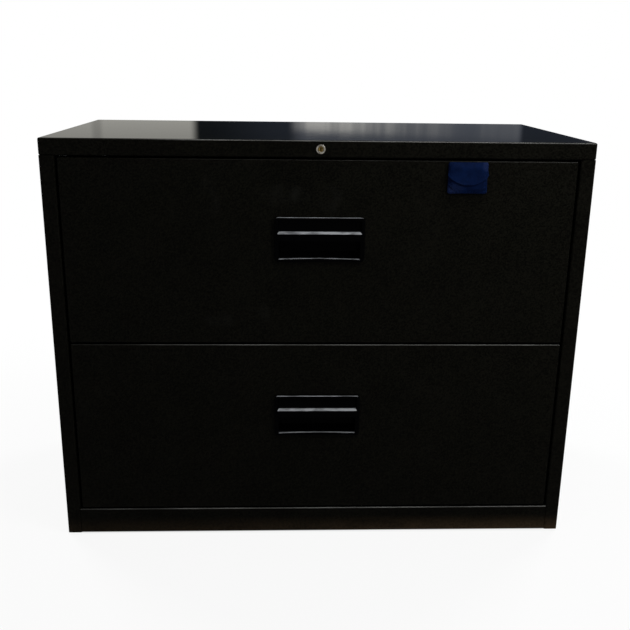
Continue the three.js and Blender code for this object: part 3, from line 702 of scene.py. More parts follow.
@dataclass(frozen=True)
class Cloth:
    """Closely woven navy nylon, with painted highlight spots at the flap's top right corner and the pouch's
    lower left.
    """

    name: str = "blue_cloth"
    body: Colour = (0.0005, 0.0028, 0.015)
    worn: Colour = (0.0016, 0.0062, 0.0296)
    # colour of the painted highlight spots
    rubbed: Colour = (0.01, 0.016, 0.05)
    marks: tuple[Smudge, ...] = (
        Smudge(0.2735, 0.682, 0.009, 0.010, 0.6),
        Smudge(0.2135, 0.640, 0.012, 0.012, 0.4),
        Smudge(0.2230, 0.646, 0.018, 0.013, 0.35),
    )
    least_rub: float = 0.4
    pitch: float = 0.75 * MM
    thread_depth: float = 0.08 * MM
    creases: Cloud = Cloud(120, 3)
    crease_height: float = 3.0
    fade: Cloud = Cloud(70, 4, (0.3, 0.75))
    fade_share: float = 0.65
    roughness: float = 0.62
    faded_rougher: float = 0.15
    gloss: float = 0.015
    sheen: float = 0.01
    sheen_roughness: float = 0.5
    sheen_tint: Colour = (0.35, 0.5, 1.0)

    def make(self) -> bpy.types.Material:
        """Makes the material.

        Returns:
            The finished material.
        """
        shader = Shader.material(self.name)
        x, _, z = shader.parts(shader.place())
        turns = FULL_TURN / self.pitch
        weave = 0.5 + 0.5 * (x * turns).sine() * (z * turns).sine()
        fade = shader.cloud(self.fade)
        threads = self.fade_share * fade + (1 - self.fade_share) * weave
        colour = shader.blend(threads, self.body, self.worn)
        # painted highlight spots
        highlight_spots = rubbed_at(self.marks, x, z) * weave.lifted(self.least_rub)
        creases = self.crease_height * shader.cloud(self.creases)
        return shader.surface(
            Base_Color=shader.blend(highlight_spots, colour, self.rubbed),
            Roughness=self.roughness + self.faded_rougher * fade,
            Specular_Ior_Level=self.gloss,
            Sheen_Weight=self.sheen,
            Sheen_Roughness=self.sheen_roughness,
            Sheen_Tint=self.sheen_tint,
            Normal=shader.bump(weave + creases, self.thread_depth),
        )


class Finish(Enum):
    """The finishes, by the record's material slots; thread has no slot of its own."""

    ENAMEL = Enamel()
    MOULDING = Moulding()
    ZINC = Metal("zinc_steel", (0.42, 0.43, 0.44), (0.25, 0.26, 0.27), roughness=0.38, cells=140.0)
    CHROME = Metal("chrome", (0.25, 0.235, 0.205), (0.1, 0.09, 0.075), roughness=0.24, blotches=220.0)
    BRASS = Metal(
        "brass",
        (0.15, 0.105, 0.035),
        (0.05, 0.034, 0.012),
        roughness=0.34,
        blotches=260.0,
        clean_to=-229.7 * MM,
    )
    IRON = Solid(
        "cast_iron",
        (0.02, 0.02, 0.019),
        (0.045, 0.036, 0.03),
        roughness=0.7,
        grain=Cloud(350, 4),
        grain_depth=0.4 * MM,
        metallic=0.5,
    )
    NYLON = Solid("grey_nylon", (0.035, 0.035, 0.034), (0.05, 0.048, 0.045), roughness=0.5)
    RUBBER = Solid("magnet_rubber", (0.009, 0.008, 0.007), (0.014, 0.012, 0.01), roughness=0.78)
    CLOTH = Cloth()
    THREAD = Solid("blue_thread", (0.0012, 0.0048, 0.024), (0.0024, 0.008, 0.04), roughness=0.6, gloss=0.02)

    @property
    def material(self) -> bpy.types.Material:
        """This finish's material, made at its first use."""
        return bpy.data.materials.get(self.value.name + FINISH_SUFFIX) or self.value.make()


def arc(centre: Point2, radius: float, start: float, turn: float, steps: int) -> list[Point2]:
    """Points along an arc.

    Args:
        centre: its centre.
        radius: its radius.
        start: the angle of its first point.
        turn: the angle that it covers.
        steps: how many chords it has.

    Returns:
        The points, both ends included.
    """
    angles = (start + turn * i / steps for i in range(steps + 1))
    return [(centre[0] + radius * math.cos(a), centre[1] + radius * math.sin(a)) for a in angles]


def circle(radius: float, sides: int) -> list[Point2]:
    """The corners of a circle about the origin."""
    return arc((0, 0), radius, 0, FULL_TURN * (sides - 1) / sides, sides - 1)


def rounded_rectangle(half_u: float, half_v: float, radius: float) -> list[Point2]:
    """The outline of a rectangle with round corners, centred on the origin.

    Args:
        half_u: half its width.
        half_v: half its height.
        radius: radius of the corners.

    Returns:
        The outline's points, anticlockwise.
    """
    points: list[Point2] = []
    for corner, (u, v) in enumerate(((1, -1), (1, 1), (-1, 1), (-1, -1))):
        centre = (u * (half_u - radius), v * (half_v - radius))
        points += arc(centre, radius, (corner - 1) * QUARTER, QUARTER, CORNER_STEPS)
    return points


def closer_spaced(outline: Sequence[Point2], spacing: float) -> list[Point2]:
    """A closed outline with points added between those that lie far apart.

    Args:
        outline: the outline's points.
        spacing: the furthest that two points may lie apart.

    Returns:
        The outline with its added points.
    """
    points: list[Point2] = []
    for here, after in zip(outline, [*outline[1:], outline[0]]):
        count = max(1, math.ceil(math.dist(here, after) / spacing))
        for i in range(count):
            t = i / count
            points.append((here[0] + t * (after[0] - here[0]), here[1] + t * (after[1] - here[1])))
    return points


def fold_angles() -> list[float]:
    """The angles of the points round a fold."""
    return [QUARTER * i / FOLD_STEPS for i in range(FOLD_STEPS + 1)]


def folded_section(line: Sequence[Point2], sheet: float, bend: float) -> list[Point2]:
    """The section of a sheet folded along a line of right angles that all turn left.

    Args:
        line: the outside of the folds, with the sheet on its left.
        sheet: the sheet's thickness.
        bend: outside radius of the folds.

    Returns:
        The closed outline of the section.
    """
    corners = [Vector(p) for p in line]
    along = [(after - here).normalized() for here, after in zip(corners, corners[1:])]

    def folds(radius: float) -> list[Point2]:
        """The points of all the folds at one radius.

        Args:
            radius: the folds' radius.

        Returns:
            The points in order along the line.
        """
        points = []
        for corner, into, out in zip(corners[1:-1], along, along[1:]):
            centre = corner - into * bend + out * bend
            points += [centre + radius * (into * math.sin(a) - out * math.cos(a)) for a in fold_angles()]
        return [tuple(p) for p in points]

    def left(direction: Vector) -> Vector:
        """The direction a quarter turn to the left."""
        return Vector((-direction.y, direction.x))

    start = corners[0] + left(along[0]) * sheet
    end = corners[-1] + left(along[-1]) * sheet
    inside = folds(bend - sheet)[::-1]
    return [tuple(corners[0]), *folds(bend), tuple(corners[-1]), tuple(end), *inside, tuple(start)]


def pan_profile(depth: float, sheet: float, bend: float, lip: float) -> list[Point2]:
    """The wall of a folded pan, from the edge of its face round to the back of its face.

    Args:
        depth: from the face to the foot of the skirt.
        sheet: thickness of the sheet.
        bend: outside radius of the folds.
        lip: how far the foot folds in.

    Returns:
        Points of inset from the pan's outline and depth behind its face.
    """
    inner = bend - sheet
    foot = depth - bend

    def face_fold(radius: float) -> list[Point2]:
        """The fold at the edge of the face."""
        return [(bend - radius * math.sin(a), bend - radius * math.cos(a)) for a in fold_angles()]

    def foot_fold(radius: float) -> list[Point2]:
        """The fold at the foot of the skirt."""
        return [(bend - radius * math.cos(a), foot + radius * math.sin(a)) for a in fold_angles()]

    lip_edge = [(lip, depth), (lip, depth - sheet)]
    back = foot_fold(inner)[::-1] + face_fold(inner)[::-1]
    return face_fold(bend) + foot_fold(bend) + lip_edge + back


def smoothed(mesh: bpy.types.Mesh) -> None:
    """Shades a mesh smooth, but for its creases."""
    mesh.shade_smooth()
    mesh.set_sharp_from_angle(angle=CREASE)


class Skin:
    """A mesh in the making."""

    def __init__(self) -> None:
        """Starts with no faces."""
        self.bm = bmesh.new()

    def loft(self, rings: Sequence[Iterable[Vector]], ends: Ends = Ends.CAPPED) -> "Skin":
        """Adds a skin over closed rings of as many points each.

        Args:
            rings: the rings in order.
            ends: whether the end rings are capped or joined to each other.

        Returns:
            This skin.
        """
        rows = [[self.bm.verts.new(p) for p in ring] for ring in rings]
        pairs = list(zip(rows, rows[1:]))
        if ends is Ends.JOINED:
            pairs.append((rows[-1], rows[0]))
        else:
            self.bm.faces.new(rows[0])
            self.bm.faces.new(rows[-1])
        for first, second in pairs:
            for i, vert in enumerate(first):
                j = (i + 1) % len(first)
                self.bm.faces.new((vert, first[j], second[j], second[i]))
        return self

    def prism(self, outline: Sequence[Point2], plane: Plane, low: float, high: float) -> "Skin":
        """Adds an outline drawn in a plane and extruded from one depth to another."""
        return self.loft([[plane.at(u, v, depth) for u, v in outline] for depth in (low, high)])

    def lathe(
        self,
        profile: Sequence[Point2],
        axis: Vector,
        plane: Plane,
        sides: int,
        ends: Ends = Ends.CAPPED,
    ) -> "Skin":
        """Adds a turned shape.

        Args:
            profile: points of radius and depth along the axis.
            axis: a point on the axis, whose own depth is added to the profile's.
            plane: the plane that the circles lie in.
            sides: chords in each circle.
            ends: whether the profile's ends are capped or joined.

        Returns:
            This skin.
        """
        rings = []
        for radius, depth in profile:
            rings.append([axis + plane.at(u, v, depth) for u, v in circle(radius, sides)])
        return self.loft(rings, ends)

    def face(self, corners: Iterable[Point3]) -> "Skin":
        """Adds one flat face."""
        self.bm.faces.new([self.bm.verts.new(corner) for corner in corners])
        return self

    def grid(self, rows: Sequence[Sequence[Vector]]) -> "Skin":
        """Adds an open sheet over rows of as many points each.

        Args:
            rows: the rows in order.

        Returns:
            This skin.
        """
        verts = [[self.bm.verts.new(p) for p in row] for row in rows]
        for upper, lower in zip(verts, verts[1:]):
            for i in range(len(upper) - 1):
                self.bm.faces.new((upper[i], upper[i + 1], lower[i + 1], lower[i]))
        return self

    def done(self, name: str) -> bpy.types.Object:
        """Ends the mesh and puts it into the scene, with its place in its mesh.

        Args:
            name: name of the piece.

        Returns:
            The piece.
        """
        bmesh.ops.remove_doubles(self.bm, verts=self.bm.verts, dist=MERGE)
        bmesh.ops.recalc_face_normals(self.bm, faces=self.bm.faces)
        mesh = bpy.data.meshes.new(name)
        self.bm.to_mesh(mesh)
        self.bm.free()
        smoothed(mesh)
        piece = bpy.data.objects.new(name, mesh)
        bpy.context.scene.collection.objects.link(piece)
        return piece


def configure(target: object, **settings: object) -> None:
    """Sets properties of something in Blender by their names."""
    for key, setting in settings.items():
        setattr(target, key, setting)


def modify(piece: bpy.types.Object, kind: str, **settings: object) -> bpy.types.Modifier:
    """Adds a modifier to a piece.

    Args:
        piece: the piece.
        kind: the modifier's type.
        settings: its properties.

    Returns:
        The modifier.
    """
    made = piece.modifiers.new(kind.lower(), kind)
    configure(made, **settings)
    return made


def even_shading(piece: bpy.types.Object) -> None:
    """Keeps flat faces flat where they meet small rounds."""
    modify(piece, "WEIGHTED_NORMAL", keep_sharp=True, weight=FLAT_WEIGHT)


def fine_edges(piece: bpy.types.Object, width: float) -> None:
    """Rounds a piece's edges by a fine width."""
    modify(piece, "BEVEL", width=width, segments=EDGE_STEPS, limit_method="ANGLE")
    even_shading(piece)


def baked(piece: bpy.types.Object) -> bpy.types.Object:
    """Works a piece's modifiers into its mesh.

    Args:
        piece: the piece.

    Returns:
        The same piece, with no modifiers left.
    """
    graph = bpy.context.evaluated_depsgraph_get()
    mesh = bpy.data.meshes.new_from_object(piece.evaluated_get(graph))
    piece.modifiers.clear()
    piece.data = mesh
    smoothed(mesh)
    return piece


def carved(
    blank: bpy.types.Object,
    added: Sequence[bpy.types.Object],
    removed: Sequence[bpy.types.Object],
) -> bpy.types.Object:
    """A blank with shapes joined to it and then cut out of it.

    Args:
        blank: the piece to work on.
        added: shapes to join.
        removed: shapes to cut out.

    Returns:
        The blank, carved.
    """
    for operation, tools in (("UNION", added), ("DIFFERENCE", removed)):
        for tool in tools:
            modify(blank, "BOOLEAN", operation=operation, object=tool, solver="EXACT")
    baked(blank)
    for tool in [*added, *removed]:
        bpy.data.objects.remove(tool)
    return blank


def dressed(piece: bpy.types.Object, finish: Finish, *nodes: str) -> bpy.types.Object:
    """Gives a piece its finish and puts it in the place of the nodes that it stands for.

    Args:
        piece: the new piece.
        finish: what it is made of.
        nodes: the frame's nodes that it replaces.

    Returns:
        The piece.
    """
    piece.data.materials.clear()
    piece.data.materials.append(finish.material)
    if nodes:
        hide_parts(*nodes)
    LOG.info("%s is made in %s", piece.name, finish.name.lower())
    return piece


def register(piece: bpy.types.Object, body: str, finish: Finish, *nodes: str) -> bpy.types.Object:
    """Sets a piece on the body that carries it, and dresses it.

    Args:
        piece: the new piece.
        body: the body that carries it.
        finish: what it is made of.
        nodes: the frame's nodes that it replaces.

    Returns:
        The piece.
    """
    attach(piece, body)
    return dressed(piece, finish, *nodes)


@dataclass(frozen=True)
class FoldedPan:
    """A sheet folded into a shallow pan: a face, a skirt round it and a lip at the skirt's foot."""

    half_u: float
    half_v: float
    depth: float
    sheet: float
    bend: float
    corner: float
    lip: float

    def outline(self, inset: float) -> list[Point2]:
        """The pan's outline, drawn in by an inset."""
        radius = max(self.corner - inset, LEAST_RADIUS)
        return rounded_rectangle(self.half_u - inset, self.half_v - inset, radius)

    def rings(self, plane: Plane, centre: Vector, inward: int) -> list[list[Vector]]:
        """The rings of the pan's skin.

        Args:
            plane: the plane of its face.
            centre: the middle of its face.
            inward: sign of the direction in which the skirt goes.

        Returns:
            Rings from the edge of the face round to the back of the face.
        """
        rings = []
        for inset, depth in pan_profile(self.depth, self.sheet, self.bend, self.lip):
            rings.append([centre + plane.at(u, v, inward * depth) for u, v in self.outline(inset)])
        return rings


@dataclass
class CaseShell:
    """The folded steel case: top with its skirt, sides with their posts, back and base rail."""

    half_width: float = 457.2 * MM
    half_depth: float = 228.6 * MM
    top: float = 721 * MM
    foot: float = 3 * MM
    side_top: float = 692.95 * MM
    sheet: float = 1.2 * MM
    bend: float = 3 * MM
    corner: float = 4 * MM
    skirt: float = 28 * MM
    lip: float = 22 * MM
    post: float = 25 * MM
    fold_back: float = 30 * MM
    back_inset: float = 1.5 * MM
    back_flange: float = 15 * MM
    rail_half: float = 432.15 * MM
    rail_top: float = 51.5 * MM
    rail_lip: float = 10 * MM
    lock_hole: float = 6.6 * MM
    lock_level: float = 707 * MM
    lock_hole_sides: int = 48

    def build(self) -> None:
        """Makes all the case's panels."""
        self._top()
        for side in Side:
            self._side(side)
        self._back()
        self._base_rail()

    def _top(self) -> None:
        """The top, with the hole for the lock in its front skirt."""
        pan = FoldedPan(
            self.half_width, self.half_depth, self.skirt, self.sheet, self.bend, self.corner, self.lip
        )
        shell = Skin().loft(pan.rings(Plane.TOP, Vector((0, 0, self.top)), -1)).done("top_cap_shell")
        drill = Skin().lathe(
            [(self.lock_hole, -self.bend), (self.lock_hole, self.bend)],
            Vector((0, -self.half_depth, self.lock_level)),
            Plane.FRONT,
            self.lock_hole_sides,
        )
        carved(shell, [], [drill.done("lock_drill")])
        even_shading(shell)
        register(shell, "case", Finish.ENAMEL, "top_cap")

    def _folded(
        self, name: str, line: Sequence[Point2], plane: Plane, low: float, high: float, node: str
    ) -> None:
        """One panel folded along a line.

        Args:
            name: name of the piece.
            line: the outside of its folds.
            plane: the plane that the line is drawn in.
            low: where the panel starts.
            high: where it ends.
            node: the frame's node that it replaces.
        """
        section = folded_section(line, self.sheet, self.bend)
        panel = Skin().prism(section, plane, low, high).done(name)
        even_shading(panel)
        register(panel, "case", Finish.ENAMEL, node)

    def _side(self, side: Side) -> None:
        """A side panel, whose front edge folds into the post beside the drawers.

        Args:
            side: which side it is.
        """
        inner = self.half_width - self.post
        line = [
            (inner, self.fold_back - self.half_depth),
            (inner, -self.half_depth),
            (self.half_width, -self.half_depth),
            (self.half_width, self.half_depth),
        ]
        if side is Side.LEFT:
            line = [(-x, y) for x, y in reversed(line)]
        name = f"{side.word}_side"
        self._folded(f"{name}_shell", line, Plane.TOP, self.foot, self.side_top, f"{name}_panel")

    def _back(self) -> None:
        """The back, whose flanges lie inside the sides."""
        half = self.half_width - self.back_inset
        edge = self.half_depth - self.back_flange
        line = [(half, edge), (half, self.half_depth), (-half, self.half_depth), (-half, edge)]
        self._folded("back_shell", line, Plane.TOP, self.foot, self.side_top, "back_panel")

    def _base_rail(self) -> None:
        """The rail under the lower drawer."""
        inside = self.fold_back - self.half_depth
        line = [
            (inside, self.rail_top - self.rail_lip),
            (inside, self.rail_top),
            (-self.half_depth, self.rail_top),
            (-self.half_depth, self.foot),
            (inside, self.foot),
        ]
        half = self.rail_half
        self._folded("base_rail_shell", line, Plane.SIDE, -half, half, "base_front_rail")


@dataclass
class DrawerFace:
    """One drawer's folded front, with the cut-out for its pull."""

    level: Level
    pull_centre: float
    front: float = -228.6 * MM
    half_width: float = 428.2 * MM
    height: float = 315.95 * MM
    depth: float = 22 * MM
    sheet: float = 1 * MM
    bend: float = 2.2 * MM
    corner: float = 3 * MM
    lip: float = 12 * MM
    hole_half_width: float = 71 * MM
    hole_half_height: float = 33 * MM

    def build(self) -> None:
        """Makes the front."""
        half = self.height / 2
        pan = FoldedPan(self.half_width, half, self.depth, self.sheet, self.bend, self.corner, self.lip)
        centre = Vector((0, self.front, self.level.front_foot + half))
        hole = rounded_rectangle(self.hole_half_width, self.hole_half_height, LEAST_RADIUS)
        middle = Vector((0, self.front, self.pull_centre))
        edges = [[middle + Plane.FRONT.at(u, v, depth) for u, v in hole] for depth in (0, self.sheet)]
        rings = [edges[0], *pan.rings(Plane.FRONT, centre, 1), edges[1]]
        body = self.level.drawer
        face = Skin().loft(rings, Ends.JOINED).done(f"{body}_face")
        even_shading(face)
        register(face, body, Finish.ENAMEL, f"{body}_front")


@dataclass
class DrawerPull:
    """One moulded pull: a bezel with a label recess above a hooded finger cup.

    Its own sizes run across, out from the drawer's face and up from the foot of the bezel.
    """

    level: Level
    front: float = -228.6 * MM
    half_width: float = 76 * MM
    height: float = 76 * MM
    corner: float = 6.5 * MM
    reach: float = 6 * MM
    round_over: float = 1.5 * MM
    round_steps: int = 5
    cup_half_width: float = 70.5 * MM
    cup_inset: float = 5.5 * MM
    cup_depth: float = 18.5 * MM
    cup_corner: float = 2 * MM
    hood_half_width: float = 70.8 * MM
    hood_reach: float = 7.5 * MM
    hood_foot: float = 36 * MM
    hood_top: float = 53 * MM
    hood_slope: float = 5 / 5.5
    hood_back: float = 4.5 * MM
    label_half_width: float = 67.9 * MM
    label_top: float = 71.5 * MM
    label_floor: float = 2 * MM
    label_mouth: float = 8.5 * MM
    recess_overlap: float = 4.5 * MM
    end_slope: float = 3.6 / 5.5
    grip_half_width: float = 68.3 * MM
    grip_foot: float = 7.7 * MM
    grip_top: float = 50.8 * MM
    grip_depth: float = 16.3 * MM
    grip_round: float = 10 * MM
    grip_round_steps: int = 8
    grip_roof: float = 0.2 * MM
    grip_roof_drop: float = 5 * MM
    grip_mouth: float = 16 * MM
    grip_sections: int = 17
    rim: float = 4.5 * MM
    bow: float = 1.8 * MM
    edge_round: float = 0.45 * MM
    edge_steps: int = 3
    sharp: float = math.radians(28)
    flat: float = math.radians(0.4)

    @property
    def centre(self) -> float:
        """Level of the middle of the bezel."""
        return self.level.pull_foot + self.height / 2

    def _at(self, across: float, out: float, up: float) -> Vector:
        """A point of the frame from the pull's own sizes."""
        return Vector((across, self.front - out, self.level.pull_foot + up))

    def build(self) -> None:
        """Makes the pull."""
        body = self.level.drawer
        pull = carved(self._bezel(), [self._cup()], [self._recess()])
        carved(pull, [self._hood()], [self._grip()])
        modify(pull, "DECIMATE", decimate_type="DISSOLVE", angle_limit=self.flat)
        baked(pull)
        self._soften(pull)
        pull.name = f"{body}_pull_moulding"
        even_shading(pull)
        register(pull, body, Finish.MOULDING, f"{body}_pull")

    def _soften(self, pull: bpy.types.Object) -> None:
        """Rounds the moulding's edges in front of the drawer's face.

        Args:
            pull: the carved moulding.
        """
        bm = bmesh.new()
        bm.from_mesh(pull.data)
        clear = self.front - self.edge_round / 2
        edges = [
            edge
            for edge in bm.edges
            if edge.calc_face_angle(0) > self.sharp and all(vert.co.y < clear for vert in edge.verts)
        ]
        bmesh.ops.bevel(
            bm,
            geom=edges,
            offset=self.edge_round,
            segments=self.edge_steps,
            profile=0.5,
            affect="EDGES",
            clamp_overlap=False,
        )
        bm.to_mesh(pull.data)
        bm.free()
        smoothed(pull.data)

    def _block(self, part: str, rings: Sequence[Iterable[Vector]]) -> bpy.types.Object:
        """A solid over rings, named for a part of this drawer's pull."""
        return Skin().loft(rings).done(f"{self.level.word}_{part}")

    def _plate(self, half_width: float, inset: float, corner: float, out: float) -> list[Vector]:
        """A ring round the middle of the bezel.

        Args:
            half_width: half the ring's width.
            inset: how far it lies inside the bezel's top and foot.
            corner: radius of its corners.
            out: how far out from the drawer's face it lies.

        Returns:
            The ring's points.
        """
        half = self.height / 2
        outline = rounded_rectangle(half_width, half - inset, corner)
        return [self._at(u, out, half + v) for u, v in outline]

    def _bezel(self) -> bpy.types.Object:
        """The plate in front of the drawer's face, with a rounded front edge.

        Returns:
            The plate.
        """
        profile = [(0.0, 0.0), (0.0, self.reach - self.round_over)]
        for i in range(1, self.round_steps + 1):
            turn = QUARTER * i / self.round_steps
            inset = self.round_over * (1 - math.cos(turn))
            profile.append((inset, self.reach - self.round_over * (1 - math.sin(turn))))
        rings = [
            self._plate(self.half_width - inset, inset, self.corner - inset, out) for inset, out in profile
        ]
        return self._block("bezel", rings)

    def _cup(self) -> bpy.types.Object:
        """The block behind the face that the fingers reach into.

        Returns:
            The block.
        """
        depths = (self.label_floor / 2, -self.cup_depth)
        rings = [self._plate(self.cup_half_width, self.cup_inset, self.cup_corner, out) for out in depths]
        return self._block("cup", rings)

    def _hood(self) -> bpy.types.Object:
        """The hood over the grip, whose top slopes down and out from the label.

        Returns:
            The hood.
        """
        root = self.label_floor / 2
        drop = self.hood_slope * (self.hood_reach - self.label_floor)
        outline = [
            (root, self.hood_foot),
            (self.hood_reach, self.hood_foot),
            (self.hood_reach, self.hood_top - drop),
            (root, self.hood_top + self.hood_slope * (self.label_floor - root)),
        ]
        ends = (-self.hood_half_width, self.hood_half_width)
        return self._block("hood", [[self._at(end, out, up) for out, up in outline] for end in ends])

    def _recess(self) -> bpy.types.Object:
        """What is cut away over the label, with sloping ends.

        Returns:
            The cutter.
        """
        rings = []
        for out in (self.label_floor, self.label_mouth):
            half = self.label_half_width + self.end_slope * (out - self.label_floor)
            low = self.hood_top - self.recess_overlap
            corners = [(-half, low), (half, low), (half, self.label_top), (-half, self.label_top)]
            rings.append([self._at(u, out, v) for u, v in corners])
        return self._block("recess", rings)

    def _grip(self) -> bpy.types.Object:
        """What is cut away for the fingers, over a lower lip that bows up in the middle.

        Returns:
            The cutter.
        """
        middle = (self.grip_depth - self.grip_round, self.grip_foot + self.grip_round)
        well = arc(middle, self.grip_round, -QUARTER, QUARTER, self.grip_round_steps)
        rings = []
        for i in range(self.grip_sections):
            share = 2 * i / (self.grip_sections - 1) - 1
            lip = self.rim + self.bow * (1 - share * share)
            outline = [
                (-self.grip_mouth, lip),
                (-self.reach, lip),
                (0.0, self.grip_foot),
                *well,
                (self.grip_depth, self.grip_top),
                (self.grip_roof, self.grip_top),
                (-self.hood_back, self.grip_top - self.grip_roof_drop),
                (-self.hood_back, self.hood_foot),
                (-self.grip_mouth, self.hood_foot),
            ]
            rings.append([self._at(share * self.grip_half_width, -y, z) for y, z in outline])
        return self._block("grip", rings)


@dataclass
class RailLock:
    """The lock in the middle of the top rail: a plated housing round a brass plug with a keyway."""

    level: float = 707 * MM
    flange_radius: float = 7.7 * MM
    flange_front: float = -230.2 * MM
    flange_back: float = -228.9 * MM
    body_radius: float = 6.5 * MM
    body_end: float = -201.6 * MM
    bore: float = 4.7 * MM
    plug_radius: float = 4.4 * MM
    plug_face: float = -229.8 * MM
    spigot_radius: float = 3 * MM
    spigot_end: float = -197.6 * MM
    edge: float = 0.5 * MM
    edge_steps: int = 4
    keyway_width: float = 2.4 * MM
    keyway_height: float = 6.2 * MM
    keyway_depth: float = 14 * MM
    ward: float = 0.6 * MM
    facets: int = 64

    def build(self) -> None:
        """Makes the housing and the plug."""
        self._housing()
        self._plug()

    def _housing(self) -> None:
        """The housing: a tube behind a flange with a rounded edge."""
        rounded = []
        for i in range(self.edge_steps + 1):
            turn = QUARTER * i / self.edge_steps
            inset = self.edge * (1 - math.cos(turn))
            behind = self.edge * (1 - math.sin(turn))
            rounded.append((self.flange_radius - inset, self.flange_front + behind))
        profile = [
            (self.bore, self.body_end),
            (self.body_radius, self.body_end),
            (self.body_radius, self.flange_back),
            (self.flange_radius, self.flange_back),
            *rounded,
            (self.bore + self.edge, self.flange_front),
            (self.bore, self.flange_front + self.edge),
        ]
        axis = Vector((0, 0, self.level))
        skin = Skin().lathe(profile, axis, Plane.FRONT, self.facets, Ends.JOINED)
        ring = skin.done("lock_housing_turned")
        even_shading(ring)
        register(ring, "case", Finish.CHROME, "lock_housing")

    def _plug(self) -> None:
        """The plug, with a warded keyway."""
        shoulder = self.body_end
        profile = [
            (self.spigot_radius, self.spigot_end),
            (self.spigot_radius, shoulder),
            (self.plug_radius, shoulder),
            (self.plug_radius, self.plug_face + self.edge / 2),
            (self.plug_radius - self.edge / 2, self.plug_face),
        ]
        axis = Vector((0, 0, self.level))
        plug = Skin().lathe(profile, axis, Plane.FRONT, self.facets).done("lock_plug_turned")
        half = self.keyway_width / 2
        tall = self.keyway_height / 2
        outline = [
            (-half, -tall),
            (half, -tall),
            (half, -self.ward),
            (half - self.ward, 0.0),
            (half, self.ward),
            (half, tall),
            (-half, tall),
        ]
        slot = Skin().prism(
            [(x, z + self.level) for x, z in outline],
            Plane.FRONT,
            self.plug_face - self.keyway_depth / 2,
            self.plug_face + self.keyway_depth,
        )
        carved(plug, [], [slot.done("keyway_cutter")])
        even_shading(plug)
        register(plug, "lock_plug", Finish.BRASS, "lock_plug")


